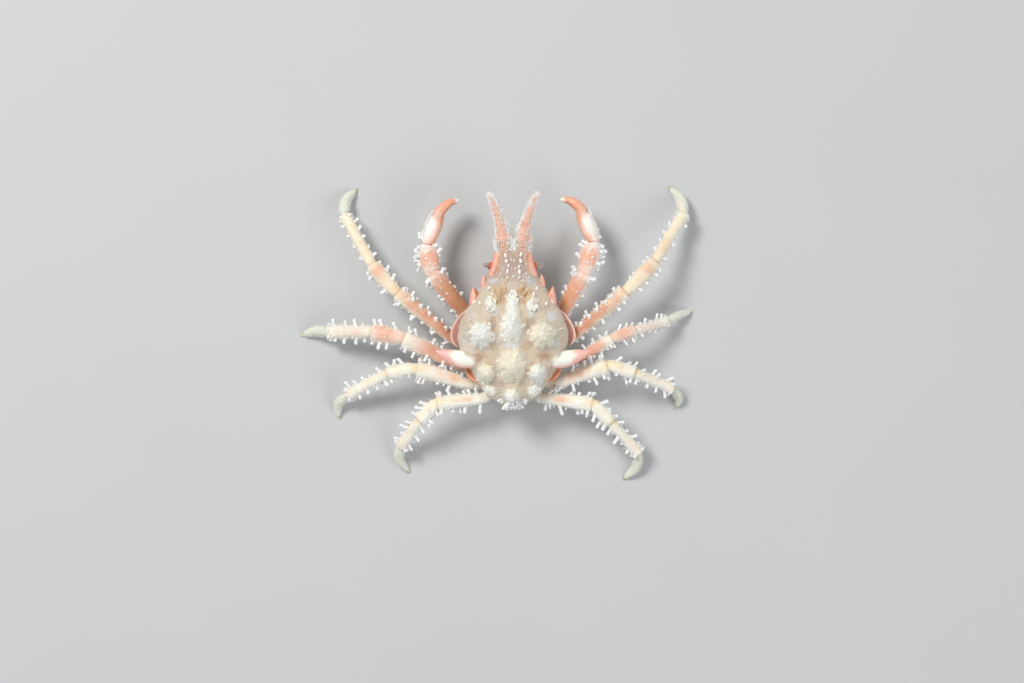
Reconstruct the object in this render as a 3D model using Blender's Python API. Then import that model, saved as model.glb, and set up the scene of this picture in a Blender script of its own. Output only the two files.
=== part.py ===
"""A small deep-water spider crab of the genus Oxypleurodon, a still model at life size.

The crab stands on its eight claw tips with its two pincers held forward. Lengths are in millimetres and
are brought to Blender's metres when a mesh is made. X runs to the animal's right, Y to its front and Z up.
The floor is z = 0, and y = 0 is the hind margin of the carapace until centre_on_floor moves all the pieces
to the middle of their own footprint.
"""

import math
import random
from dataclasses import dataclass, replace

import bmesh
import bpy
from mathutils import Vector
from mathutils.bvhtree import BVHTree

MM = 0.001
GAP = 0.3
SEED = 7
UP = Vector((0, 0, 1))
SIDES = {"left": -1, "right": 1}
LOOKS = {  # colour and roughness
    "shell": ((0.86, 0.74, 0.62), 0.6),
    "rose_shell": ((0.86, 0.5, 0.4), 0.35),
    "limb_shell": ((0.88, 0.62, 0.48), 0.4),
    "dactylus_shell": ((0.8, 0.76, 0.64), 0.35),
    "underside": ((0.88, 0.78, 0.68), 0.5),
    "eye": ((0.25, 0.1, 0.06), 0.1),
}

# Carapace: lines along the body, as pairs of the distance from the hind margin and a size or height
FRONT = 26.4
REAR = -0.6
HALF_WIDTH = (
    (REAR, 2.2), (1.5, 4.7), (5, 7.0), (8.5, 8.4), (11, 8.8), (14, 8.0), (16.5, 6.8),
    (19, 5.1), (21, 3.8), (22.5, 3.1), (24.5, 2.95), (FRONT, 3.0),
)
DORSAL_LINE = ((REAR, 9.4), (1.5, 11.0), (5, 12.3), (9, 13.0), (14, 13.2), (18, 12.8), (22, 12.2), (FRONT, 12.2))
EDGE_LINE = ((REAR, 8.7), (5, 9.0), (12, 9.2), (18, 9.7), (22, 10.3), (FRONT, 11.0))
SHELF_LINE = ((REAR, 8.0), (5, 7.6), (12, 7.5), (18, 8.1), (22, 9.2), (FRONT, 10.2))
KEEL_LINE = ((REAR, 7.6), (3, 6.9), (12.5, 6.8), (13.7, 5.2), (17.5, 5.2), (21, 7.0), (24.5, 9.1), (FRONT, 9.9))
CARAPACE_STATIONS = 30
ARCH_POINTS = 15
UNDERSIDE = ((0.93, 0.45), (0.8, 0.0), (0.6, 0.0), (0.42, -1.0), (0.2, -1.0))  # share of width, level


@dataclass
class Boss:
    """A rounded cone raised from the back of the carapace, at x, y, with its radii, height and lean."""

    x: float
    y: float
    across: float
    along: float
    height: float
    lean: tuple = (0.0, 0.0)
    paired: bool = False
    clubs: int = 0


BOSSES = {
    "gastric": Boss(0, 12.9, 2.3, 3.2, 2.1, clubs=6),
    "gastric_ridge": Boss(0, 16.4, 1.1, 3.4, 1.0, clubs=2),
    "epigastric": Boss(3.5, 16.3, 1.3, 1.6, 0.7, paired=True, clubs=4),
    "branchial": Boss(5.3, 10.7, 2.9, 3.0, 2.6, lean=(0.3, -0.1), paired=True, clubs=6),
    "cardiac": Boss(0, 6.2, 2.7, 3.1, 2.2, lean=(0.0, -0.2), clubs=7),
    "hind_branchial": Boss(4.3, 4.4, 2.0, 2.1, 1.9, lean=(0.6, -0.6), paired=True, clubs=5),
    "intestinal": Boss(0, 0.9, 1.8, 1.8, 1.3, lean=(0.0, -0.7)),
}

# Smooth plates and horns on the carapace's edge: centre line, half width in plan and half thickness
EDGE_FORMS = {
    "lateral_spine": (
        ((6.6, 6.3, 10.3), (8.6, 6.6, 10.4), (10.6, 7.2, 10.6), (12.0, 7.75, 10.8), (12.9, 8.15, 10.95)),
        (1.2, 1.35, 1.05, 0.62, 0.14),
        (1.2, 1.15, 0.85, 0.5, 0.12),
    ),
    "branchial_plate": (
        ((6.9, 15.3, 8.9), (8.2, 13.7, 8.8), (9.2, 11.9, 8.7), (9.45, 10.3, 8.7), (8.9, 8.7, 8.8)),
        (0.35, 0.85, 1.0, 1.0, 0.55),
        (0.3, 0.4, 0.4, 0.4, 0.3),
    ),
    "hind_plate": (
        ((7.2, 6.3, 8.9), (7.3, 5.1, 8.7), (6.6, 4.1, 8.7), (5.3, 3.3, 8.8), (4.2, 3.0, 8.9)),
        (0.45, 0.75, 0.75, 0.6, 0.35),
        (0.3, 0.38, 0.38, 0.35, 0.28),
    ),
    "hepatic_lobe": (
        ((5.9, 15.3, 9.6), (6.45, 16.3, 9.9), (6.6, 17.5, 10.1), (6.75, 18.4, 10.3), (6.7, 19.05, 10.4)),
        (0.5, 0.75, 0.6, 0.35, 0.1),
        (0.6, 1.15, 1.0, 0.6, 0.12),
    ),
    "postorbital_tooth": (
        ((4.4, 18.4, 10.0), (4.85, 19.2, 10.2), (4.95, 20.1, 10.4), (4.85, 21.1, 10.5)),
        (0.5, 0.6, 0.42, 0.1),
        (0.6, 0.75, 0.5, 0.1),
    ),
    "orbital_eave": (
        ((4.2, 19.7, 10.6), (3.55, 20.7, 11.1), (3.0, 22.2, 11.4), (2.95, 23.6, 11.6), (3.05, 24.9, 11.7)),
        (0.35, 0.6, 0.62, 0.5, 0.2),
        (0.35, 0.55, 0.6, 0.5, 0.2),
    ),
}
EDGE_EXTRA_RINGS = 2
BOSS_CLUB = (0.32, 0.55)  # radius and length of a granule on a boss
BOSS_SPREAD = 0.34  # how far a boss's granules lie from its middle, as a share of the boss's size
BROW_CLUBS = ((0.75, 24.2), (0.85, 23.0), (0.75, 21.6), (0.95, 20.2), (2.7, 18.3), (4.0, 17.2))
BROW_CLUB = (0.28, 0.4)
HIND_FRINGE = 11
HIND_FRINGE_SPREAD = 78  # degrees to each side of straight back
HIND_MIDDLE = (1.4, 9.3)  # where the hind fringe spreads from: distance from the margin, and height
HIND_REACH = 8
HIND_CLUB = (0.3, 1.05)
ABOVE = 40

# Rostral spines, each a horn with a fringe of spinules
ROSTRAL_BASE = (1.58, FRONT + GAP, 11.05)
ROSTRAL_TIP = (4.2, 34.9, 12.3)
ROSTRAL_HALF_WIDTH = 1.38
ROSTRAL_TAPER = 0.8  # share of the half width that is gone at the tip
ROSTRAL_SWELL = 0.8  # below 1 the spine narrows faster near its base
ROSTRAL_DEPTH = 0.82  # height of a spine as a share of its width
ROSTRAL_BOW = Vector((-0.35, 0.0, 0.0))
ROSTRAL_STATIONS = 8
SPINULE = (0.27, 0.5)  # radius and length
SPINULE_LEAN = 0.5
SPINULE_ROWS = ((0, 6), (180, 5))  # bearing and number of the spinules on the inner and the outer edge

# Underside of the body
STERNUM_LINE = ((0.5, 2.4), (1.2, 3.2), (3.2, 4.2), (5.5, 4.4), (8.5, 4.4), (11.0, 4.1), (12.3, 2.8))
STERNUM_STATIONS = 12
STERNUM_TOP = 6.45
STERNUM_FLOOR = 3.9
PLEON_PATH = (
    (-0.3, 7.1), (-0.32, 5.4), (-0.3, 4.0), (-0.06, 3.34), (0.5, 3.08), (2.5, 3.05), (6.0, 3.05), (9.6, 3.1),
)
PLEON_HALF_WIDTH = (1.6, 1.8, 1.9, 1.95, 1.95, 1.9, 1.55, 0.85)
PLEON_STATIONS = 15
PLEON_HALF_THICKNESS = 0.45
MAXILLIPED_PATH = ((1.3, 12.9, 4.0), (1.4, 14.2, 4.0), (1.4, 15.7, 4.05), (1.35, 17.4, 4.15))
MAXILLIPED_HALF_WIDTH = (0.9, 1.25, 1.3, 0.95)
MAXILLIPED_HALF_THICKNESS = 0.45

# Eyes and antennae
EYE_SEAT = (3.65, 22.3, 10.1)
EYE_REACH = 1.5
EYE_STALK_RADIUS = 0.45
EYE_RISE = Vector((0, 0.12, 0.05))  # how the stalk turns forward and up for each millimetre out
EYE_RINGS = (  # share of the reach and of the stalk's radius: the stalk, the cornea and its rounded end
    (0.0, 0.95), (0.24, 1.0), (0.4, 1.05), (0.57, 1.3), (0.77, 1.38), (0.93, 1.0), (1.0, 0.35),
)
EYE_SIDES = 8
ANTENNA_PATH = ((2.15, 23.2, 8.1), (2.1, 25.0, 8.6), (2.0, 27.0, 8.9), (2.15, 29.5, 9.3), (2.5, 31.5, 9.7))
ANTENNA_RADII = (0.55, 0.5, 0.32, 0.26, 0.12)
ANTENNA_STATIONS = 7
ANTENNA_SIDES = 6

# Limbs: where each coxa meets the sternum, and the thickness of each segment
COXA_AT = {"claw": 10.95, "leg1": 8.5, "leg2": 6.2, "leg3": 3.9, "leg4": 1.4}
COXA_HEIGHT = {"claw": 5.1, "leg1": 5.1, "leg2": 5.1, "leg3": 5.05, "leg4": 5.15}
THICKNESS = {
    "claw": (1.45, 1.6, 1.5, 0.85),
    "leg1": (1.15, 1.2, 0.95, 0.82),
    "leg2": (1.32, 1.42, 1.12, 0.82),
    "leg3": (1.28, 1.1, 0.92, 0.68),
    "leg4": (1.15, 1.1, 0.95, 0.75),
}
JOINT_HEIGHTS = {
    "claw": (5.6, 7.2, 7.4, 7.1, 6.6),
    "leg1": (6.3, 8.4, 7.6, 3.2, 1.5, 0.05),
    "leg2": (6.0, 8.2, 7.4, 3.2, 1.5, 0.05),
    "leg3": (5.6, 7.8, 7.0, 3.0, 1.4, 0.05),
    "leg4": (6.1, 7.4, 6.6, 3.0, 1.4, 0.05),
}
REGROWN = 0.72  # the second right leg is a regrown one, thinner than its fellow


@dataclass
class Pose:
    """How a limb lies in plan: where it comes clear of the body, and each stretch's heading and reach.

    A heading of 0 points straight out to the limb's own side and 90 straight forward.
    """

    shoulder: tuple
    headings: tuple
    reaches: tuple
    size: float = 1.0


POSES = {
    ("claw", "left"): Pose((7.5, 14.0), (50.2, 80.2, 110.7, 150.0), (9.55, 4.6, 5.95, 3.85)),
    ("claw", "right"): Pose((8.2, 14.5), (61.1, 73.5, 111.0, 156.0), (8.05, 4.95, 6.1, 3.75)),
    ("leg1", "left"): Pose((9.7, 10.0), (39.3, 48.4, 60.3, 93.5, 133.7), (12.87, 5.73, 9.91, 2.61, 2.83)),
    ("leg1", "right"): Pose((9.87, 10.67), (39.6, 45.9, 58.5, 99.5, 133.1), (11.89, 6.64, 9.82, 2.47, 3.11)),
    ("leg2", "left"): Pose((8.54, 5.82), (24.5, 10.6, 0.1, 4.3, -18.3), (11.13, 4.89, 7.68, 2.31, 2.68)),
    ("leg2", "right"): Pose((10.38, 6.49), (31.7, 18.0, 15.5, 27.4, 13.9), (7.48, 3.78, 5.85, 2.7, 2.17), REGROWN),
    ("leg3", "left"): Pose((6.7, 2.6), (15.5, -10.5, -28.5, -43.7, -95.3), (10.14, 4.46, 8.06, 2.34, 2.53)),
    ("leg3", "right"): Pose((6.48, 2.75), (17.6, -17.2, -22.4, -50.7, -103.1), (10.14, 4.21, 7.2, 2.0, 1.94)),
    ("leg4", "left"): Pose((5.1, 0.3), (-6.8, -47.7, -53.5, -82.4, -128.5), (8.0, 3.68, 5.63, 2.36, 3.05)),
    ("leg4", "right"): Pose((4.9, 0.35), (-7.3, -47.0, -47.4, -97.8, -136.7), (8.7, 4.0, 7.23, 2.62, 3.16)),
}
LIMB_SIDES = 8
SEGMENT_RINGS = {"merus": 10, "carpus": 5, "propodus": 6, "dactylus": 7, "palm": 8, "finger": 7}
FACET_REACH = 0.92  # how far a flat side of an eight-sided tube lies from its middle
STRETCH_LOOKS = {"dactylus": "dactylus_shell", "rostral": "rose_shell"}

# Club-shaped tubercles. A row has a bearing round its segment (0 front, 90 top, 180 back), the share of the
# segment where it starts and ends, and the length of its clubs as a share of the limb's own
CLUB_RADIUS = 0.29
CLUB_SPACING = {"claw": 1.5, "leg1": 2.1, "leg2": 1.6, "leg3": 1.65, "leg4": 1.65}
CLUB_STAGGER = 13  # degrees that clubs stand alternately to each side of their row
CLUB_LENGTH = {"claw": 0.8, "leg1": 0.95, "leg2": 1.2, "leg3": 1.35, "leg4": 1.45}
CLUB_BENDS = (0, 20, 38, 56)  # degrees a club may be turned upwards to stand clear of a neighbour
CLUB_ROOT = 0.5  # how deep a club is rooted, as a share of the radius of what it grows from
SHORTEST_CLUB = 0.45
CLUB_ROWS = {
    "merus": ((8, 0.45, 0.95, 1.0), (172, 0.42, 0.95, 1.0), (64, 0.66, 0.84, 0.7)),
    "carpus": ((15, 0.3, 0.85, 0.9), (165, 0.15, 0.85, 1.0)),
    "propodus": ((12, 0.1, 0.9, 0.85), (168, 0.12, 0.9, 0.9)),
}
CLAW_ROWS = {
    "merus": ((172, 0.5, 0.9, 0.6),),
    "carpus": ((185, 0.15, 0.85, 1.0), (140, 0.25, 0.75, 0.9), (5, 0.35, 0.75, 0.9)),
    "palm": ((170, 0.08, 0.3, 0.7),),
}
FLOOR_CLEARANCE = 0.4
SEGMENT_SHAPES = {
    "merus": ((0, 0.8), (0.1, 0.82), (0.2, 0.74), (0.34, 0.9), (0.6, 1.0), (0.88, 1.08), (1, 0.95)),
    "carpus": ((0, 0.86), (0.3, 1.06), (0.7, 1.04), (1, 0.86)),
    "propodus": ((0, 0.86), (0.25, 1.0), (0.6, 1.0), (1, 0.9)),
    "dactylus": ((0, 0.86), (0.3, 1.0), (0.55, 0.85), (0.8, 0.56), (1, 0.22)),
    "palm": ((0, 0.68), (0.25, 0.92), (0.55, 1.04), (0.85, 0.86), (1, 0.74)),
    "finger": ((0, 0.86), (0.35, 0.92), (0.7, 0.66), (1, 0.26)),
}
FINGER_SPREAD = 0.92  # how far each finger of a pincer lies above or below the palm's middle
FINGER_DEPTH = 0.72  # height of a finger as a share of its width
PALM_DEPTH = 1.08
FINGER_BOW = Vector((0, 0.55, 0))


def between(line, y):
    """The value at y on a line of (distance, value) pairs, smoothed by a cubic through its neighbours."""
    last = len(line) - 1
    if y <= line[0][0]:
        return line[0][1]
    if y >= line[last][0]:
        return line[last][1]
    i = max(k for k in range(last) if line[k][0] <= y)
    (y0, v0), (y1, v1) = line[i], line[i + 1]
    before, after = line[max(i - 1, 0)], line[min(i + 2, last)]
    slope0 = (v1 - before[1]) / (y1 - before[0])
    slope1 = (after[1] - v0) / (after[0] - y0)
    t = (y - y0) / (y1 - y0)
    span = y1 - y0
    return (
        v0 * (1 + 2 * t) * (1 - t) ** 2
        + slope0 * span * t * (1 - t) ** 2
        + v1 * t * t * (3 - 2 * t)
        + slope1 * span * t * t * (t - 1)
    )


def smooth_path(points, count):
    """count points evenly spaced in parameter along a smooth curve through the given points."""
    ends = [Vector(p) for p in points]
    lines = [[(k, p[axis]) for k, p in enumerate(ends)] for axis in range(3)]
    steps = [k * (len(ends) - 1) / (count - 1) for k in range(count)]
    return [Vector([between(line, s) for line in lines]) for s in steps]


def tangents(path, first=None, last=None):
    found = []
    for k in range(len(path)):
        ahead, behind = path[min(k + 1, len(path) - 1)], path[max(k - 1, 0)]
        found.append((ahead - behind).normalized())
    found[0] = first or found[0]
    found[-1] = last or found[-1]
    return found


def frame(tangent, up=UP):
    """The sideways and upward directions of a ring that faces along the tangent."""
    across = up.cross(tangent).normalized()
    return across, tangent.cross(across).normalized()


def close_skin(bm, rings):
    """Joins rings of vertices with faces, closes both ends and turns all the faces outwards."""
    for ring, after in zip(rings, rings[1:]):
        for k in range(len(ring)):
            n = (k + 1) % len(ring)
            bm.faces.new((ring[k], ring[n], after[n], after[k]))
    for ring in (rings[0], rings[-1]):
        middle = bm.verts.new(sum((v.co for v in ring), Vector()) / len(ring))
        for k in range(len(ring)):
            bm.faces.new((ring[k], ring[(k + 1) % len(ring)], middle))
    bmesh.ops.recalc_face_normals(bm, faces=bm.faces)


def tube(path, half_widths, half_heights, sides=LIMB_SIDES, up=UP, first=None, last=None):
    """A closed bmesh tube of elliptical rings along a path, in millimetres."""
    bm = bmesh.new()
    rings = []
    for centre, tangent, wide, high in zip(path, tangents(path, first, last), half_widths, half_heights):
        across, above = frame(tangent, up)
        angles = [2 * math.pi * (k + 0.5) / sides for k in range(sides)]
        rings.append([
            bm.verts.new(centre + across * wide * math.cos(a) + above * high * math.sin(a)) for a in angles
        ])
    close_skin(bm, rings)
    return bm


def shaped_tube(points, half_widths, half_heights, count, sides=LIMB_SIDES, mirror=1):
    """A tube through a few points, with its sizes smoothed along it, mirrored to the left where asked."""
    path = [Vector((p.x * mirror, p.y, p.z)) for p in smooth_path(points, count)]
    spread = (len(points) - 1) / (count - 1)
    wide = [between(list(enumerate(half_widths)), k * spread) for k in range(count)]
    high = [between(list(enumerate(half_heights)), k * spread) for k in range(count)]
    return tube(path, wide, high, sides)


@dataclass
class Stretch:
    """The course of a limb segment or a spine: ring centres, the ways they face and their half widths."""

    name: str
    kind: str
    side: int
    path: list
    ways: list
    radii: list
    height: float = 1.0

    def build(self):
        heights = [r * self.height for r in self.radii]
        bm = tube(self.path, self.radii, heights, first=self.ways[0], last=self.ways[-1])
        return mesh_object(self.name, bm, STRETCH_LOOKS.get(self.kind, "limb_shell"))

    def length(self):
        return sum((b - a).length for a, b in zip(self.path, self.path[1:]))

    def club(self, share, bearing, length, radius, lean=0.2):
        """A club on the surface, at a share of the length and a bearing of 0 front, 90 top, 180 back."""
        place = min(max(share, 0.0), 0.999) * (len(self.path) - 1)
        k = int(place)
        t = place - k
        middle = self.path[k].lerp(self.path[k + 1], t)
        tangent = self.ways[k].lerp(self.ways[k + 1], t).normalized()
        wide = self.radii[k] * (1 - t) + self.radii[k + 1] * t
        across, above = frame(tangent)
        turn = math.radians(bearing)
        out = across * self.side * math.cos(turn) + above * self.height * math.sin(turn)
        foot = middle + out * wide * FACET_REACH
        return Club(foot, (out.normalized() + tangent * lean).normalized(), length, radius, wide * CLUB_ROOT)


@dataclass
class Club:
    """A blunt tubercle that stands out from a surface point, a little thicker at its head than its foot."""

    foot: Vector
    way: Vector
    length: float
    radius: float
    depth: float

    def spine(self, steps=4):
        return [self.foot + self.way * self.length * k / steps for k in range(steps + 1)]

    def mesh(self, sides=5):
        across, above = frame(self.way, UP if abs(self.way.z) < 0.9 else Vector((0, 1, 0)))
        bm = bmesh.new()
        rings = []
        for reach, scale in ((-self.depth, 0.95), (self.length - 0.6 * self.radius, 1.04)):
            middle = self.foot + self.way * reach
            angles = [2 * math.pi * k / sides for k in range(sides)]
            rings.append([
                bm.verts.new(middle + (across * math.cos(a) + above * math.sin(a)) * self.radius * scale)
                for a in angles
            ])
        close_skin(bm, rings)
        crown = max(bm.verts, key=self.nearness_to_tip)
        crown.co = self.foot + self.way * self.length
        return bm

    def nearness_to_tip(self, vert):
        away = vert.co - self.foot
        return away.dot(self.way) - away.cross(self.way).length


def material(name, look):
    """A material of its own for one node, in one of the named looks."""
    colour, roughness = LOOKS[look]
    made = bpy.data.materials.new(name)
    made.use_nodes = True
    shader = made.node_tree.nodes["Principled BSDF"]
    shader.inputs["Base Color"].default_value = (*colour, 1.0)
    shader.inputs["Roughness"].default_value = roughness
    shader.inputs["Metallic"].default_value = 0.0
    made.diffuse_color = (*colour, 1.0)
    return made


def mesh_object(name, bm, look=None):
    for vert in bm.verts:
        vert.co = vert.co * MM
    mesh = bpy.data.meshes.new(name)
    bm.to_mesh(mesh)
    bm.free()
    made = bpy.data.objects.new(name, mesh)
    bpy.context.scene.collection.objects.link(made)
    if look:
        mesh.materials.append(material(name, look))
    return made


def shells_of(bm):
    """The separate surfaces of a mesh, each as a list of its faces."""
    left = set(bm.faces)
    shells = []
    while left:
        stack = [left.pop()]
        shell = list(stack)
        while stack:
            touching = [f for edge in stack.pop().edges for f in edge.link_faces if f in left]
            for face in set(touching):
                left.remove(face)
                shell.append(face)
                stack.append(face)
        shells.append(shell)
    return shells


def room_inside(shell):
    """The volume inside a surface of triangles."""
    corners = [[v.co for v in face.verts] for face in shell]
    return sum(a.dot(b.cross(c)) for a, b, c in corners) / 6


def keep_largest(bm):
    """Leaves only the closed surface with the most room inside it."""
    for shell in sorted(shells_of(bm), key=room_inside)[:-1]:
        bmesh.ops.delete(bm, geom=shell, context="FACES")


def fuse(body, pieces):
    """Joins the pieces to the body in one Boolean union and keeps the body's one closed surface."""
    if not pieces:
        return body
    group = bpy.data.collections.new(body.name + "_pieces")
    bpy.context.scene.collection.children.link(group)
    for k, piece in enumerate(pieces):
        part = mesh_object(f"{body.name}_piece{k}", piece)
        bpy.context.scene.collection.objects.unlink(part)
        group.objects.link(part)
    union = body.modifiers.new("join", "BOOLEAN")
    union.operation = "UNION"
    union.operand_type = "COLLECTION"
    union.collection = group
    union.solver = "MANIFOLD"
    with bpy.context.temp_override(object=body):
        bpy.ops.object.modifier_apply(modifier=union.name)
    joined = bmesh.new()
    joined.from_mesh(body.data)
    bmesh.ops.triangulate(joined, faces=joined.faces)
    keep_largest(joined)
    joined.to_mesh(body.data)
    joined.free()
    for part in list(group.objects):
        bpy.data.objects.remove(part)
    bpy.data.collections.remove(group)
    return body


def boss_rise(boss, side, x, y):
    """How far a boss lifts the point x, y, as a share of its height."""
    away = math.hypot((x - boss.x * side) / boss.across, (y - boss.y) / boss.along)
    return 0.0 if away >= 1 else (0.5 + 0.5 * math.cos(math.pi * away)) ** 1.15


def raised(point):
    """The point of the carapace's back with the bosses' rise and lean added."""
    lifted = point.copy()
    for boss in BOSSES.values():
        for side in ((1, -1) if boss.paired else (1,)):
            rise = boss_rise(boss, side, point.x, point.y) * boss.height
            lifted += Vector((boss.lean[0] * side, boss.lean[1], 1.0)) * rise
    return lifted


def carapace_ring(y):
    """One cross-section of the carapace at y: the arch from right to left, then the underside back."""
    half = between(HALF_WIDTH, y)
    top, edge = between(DORSAL_LINE, y), between(EDGE_LINE, y)
    shelf, keel = between(SHELF_LINE, y), between(KEEL_LINE, y)
    ring = []
    for k in range(ARCH_POINTS):
        turn = math.pi * k / (ARCH_POINTS - 1)
        x = half * math.cos(turn)
        ring.append(raised(Vector((x, y, edge + (top - edge) * math.sin(turn) ** 0.85))))
    levels = [(share, shelf + level * ((edge - shelf) if level > 0 else (shelf - keel)))
              for share, level in UNDERSIDE]
    ring += [Vector((-half * share, y, z)) for share, z in levels]
    ring.append(Vector((0, y, keel)))
    ring += [Vector((half * share, y, z)) for share, z in reversed(levels)]
    return ring


def build_carapace():
    bm = bmesh.new()
    step = (FRONT - REAR) / (CARAPACE_STATIONS - 1)
    rings = [[bm.verts.new(p) for p in carapace_ring(REAR + k * step)] for k in range(CARAPACE_STATIONS)]
    close_skin(bm, rings)
    return mesh_object("carapace", bm, "shell")


def edge_pieces():
    """The horns and plates that stand out from the carapace's edge, on both sides."""
    return [
        shaped_tube(points, wide, thick, len(points) + EDGE_EXTRA_RINGS, mirror=side)
        for points, wide, thick in EDGE_FORMS.values()
        for side in SIDES.values()
    ]


def rostral_spine(side_name, side):
    """The course of one of the two long spines in front of the eyes."""
    base, tip = Vector(ROSTRAL_BASE), Vector(ROSTRAL_TIP)
    course = [base, base.lerp(tip, 0.3) + ROSTRAL_BOW, base.lerp(tip, 0.7) + ROSTRAL_BOW, tip]
    path = [Vector((p.x * side, p.y, p.z)) for p in smooth_path(course, ROSTRAL_STATIONS)]
    shares = [k / (ROSTRAL_STATIONS - 1) for k in range(ROSTRAL_STATIONS)]
    wide = [ROSTRAL_HALF_WIDTH * (1 - ROSTRAL_TAPER * s ** ROSTRAL_SWELL) for s in shares]
    ways = tangents(path, Vector((0, 1, 0)))
    return Stretch(f"rostral_spine_{side_name}", "rostral", side, path, ways, wide, ROSTRAL_DEPTH)


def build_eye(side_name, side):
    seat = Vector((EYE_SEAT[0] * side, EYE_SEAT[1], EYE_SEAT[2]))
    out = (Vector((side, 0, 0)) + EYE_RISE) * EYE_REACH
    path = [seat + out * share for share, _ in EYE_RINGS]
    sizes = [EYE_STALK_RADIUS * radius for _, radius in EYE_RINGS]
    bm = tube(path, sizes, sizes, EYE_SIDES, first=Vector((side, 0, 0)))
    return mesh_object(f"eye_{side_name}", bm, "eye")


def build_antenna(side_name, side):
    bm = shaped_tube(ANTENNA_PATH, ANTENNA_RADII, ANTENNA_RADII, ANTENNA_STATIONS, ANTENNA_SIDES, side)
    return mesh_object(f"antenna_{side_name}", bm, "limb_shell")


def build_sternum():
    bm = bmesh.new()
    rings = []
    middle = (STERNUM_TOP + STERNUM_FLOOR) / 2
    deep = (STERNUM_TOP - STERNUM_FLOOR) / 2
    outline = ((1.0, -0.55), (1.0, 0.55), (0.93, 0.9), (0.7, 1.0))
    first, last = STERNUM_LINE[0][0], STERNUM_LINE[-1][0]
    for k in range(STERNUM_STATIONS):
        y = first + (last - first) * k / (STERNUM_STATIONS - 1)
        half = between(STERNUM_LINE, y)
        right = [Vector((half * x, y, middle + deep * z)) for x, z in outline]
        left = [Vector((-p.x, p.y, p.z)) for p in reversed(right)]
        floor = [Vector((x * half, y, STERNUM_FLOOR)) for x in (-0.8, -0.4, 0.0, 0.4, 0.8)]
        rings.append([bm.verts.new(p) for p in right + left + floor])
    close_skin(bm, rings)
    return mesh_object("sternum", bm, "underside")


def build_pleon():
    path = [Vector((0, y, z)) for y, z in PLEON_PATH]
    path = smooth_path(path, PLEON_STATIONS)
    spread = (len(PLEON_PATH) - 1) / (PLEON_STATIONS - 1)
    wide = [between(list(enumerate(PLEON_HALF_WIDTH)), k * spread) for k in range(PLEON_STATIONS)]
    bm = bmesh.new()
    rings = []
    for centre, tangent, half in zip(path, tangents(path), wide):
        across, above = frame(tangent, Vector((0, 0.5, 1)))
        corners = ((-1, 0.0), (-0.8, 0.8), (0, 1.0), (0.8, 0.8), (1, 0.0), (0.75, -1.0), (-0.75, -1.0))
        rings.append([
            bm.verts.new(centre + across * half * x + above * PLEON_HALF_THICKNESS * z) for x, z in corners
        ])
    close_skin(bm, rings)
    return mesh_object("pleon", bm, "underside")


def build_maxilliped(side_name, side):
    thick = [MAXILLIPED_HALF_THICKNESS] * len(MAXILLIPED_PATH)
    bm = shaped_tube(MAXILLIPED_PATH, MAXILLIPED_HALF_WIDTH, thick, 7, 10, side)
    return mesh_object(f"maxilliped_{side_name}", bm, "underside")


def limb_joints(pair, side_name):
    """The joint centres of a limb, from the shoulder out to the tip."""
    pose, side = POSES[pair, side_name], SIDES[side_name]
    x, y = pose.shoulder
    joints = [Vector((x * side, y, JOINT_HEIGHTS[pair][0]))]
    for heading, reach, z in zip(pose.headings, pose.reaches, JOINT_HEIGHTS[pair][1:]):
        x += reach * math.cos(math.radians(heading))
        y += reach * math.sin(math.radians(heading))
        joints.append(Vector((x * side, y, z)))
    return joints


def coxa_seat(pair, side_name):
    """Where the limb meets the sternum's side wall, and the way it faces."""
    y, side = COXA_AT[pair], SIDES[side_name]
    slope = (between(STERNUM_LINE, y + 0.3) - between(STERNUM_LINE, y - 0.3)) / 0.6
    outward = Vector((side, -slope, 0)).normalized()
    wall = Vector((between(STERNUM_LINE, y) * side, y, COXA_HEIGHT[pair]))
    return wall + outward * GAP, outward


def segment_radii(kind, count, radius):
    return [radius * between(SEGMENT_SHAPES[kind], k / (count - 1)) for k in range(count)]


def segment(limb_name, kind, points, radius, first=None, last=None, height=1.0):
    """One segment of a limb, drawn back from its neighbours by half the gap at each end it shares."""
    count = SEGMENT_RINGS[kind]
    path = smooth_path(points, count)
    ways = tangents(path, first, last)
    path[0] = path[0] + ways[0] * GAP / 2
    if last is not None:
        path[-1] = path[-1] - ways[-1] * GAP / 2
    side = SIDES[limb_name.split("_")[1]]
    return Stretch(f"{limb_name}_{kind}", kind, side, path, ways, segment_radii(kind, count, radius), height)


def cut_at_floor(body):
    """Takes off what lies below the floor, which leaves the small flat that the limb stands on."""
    bm = bmesh.new()
    bm.from_mesh(body.data)
    parts = [*bm.verts, *bm.edges, *bm.faces]
    cut = bmesh.ops.bisect_plane(bm, geom=parts, plane_co=(0, 0, 0), plane_no=(0, 0, -1), clear_outer=True)
    edges = [e for e in cut["geom_cut"] if isinstance(e, bmesh.types.BMEdge)]
    bmesh.ops.contextual_create(bm, geom=edges)
    bmesh.ops.recalc_face_normals(bm, faces=bm.faces)
    bm.to_mesh(body.data)
    bm.free()


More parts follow.
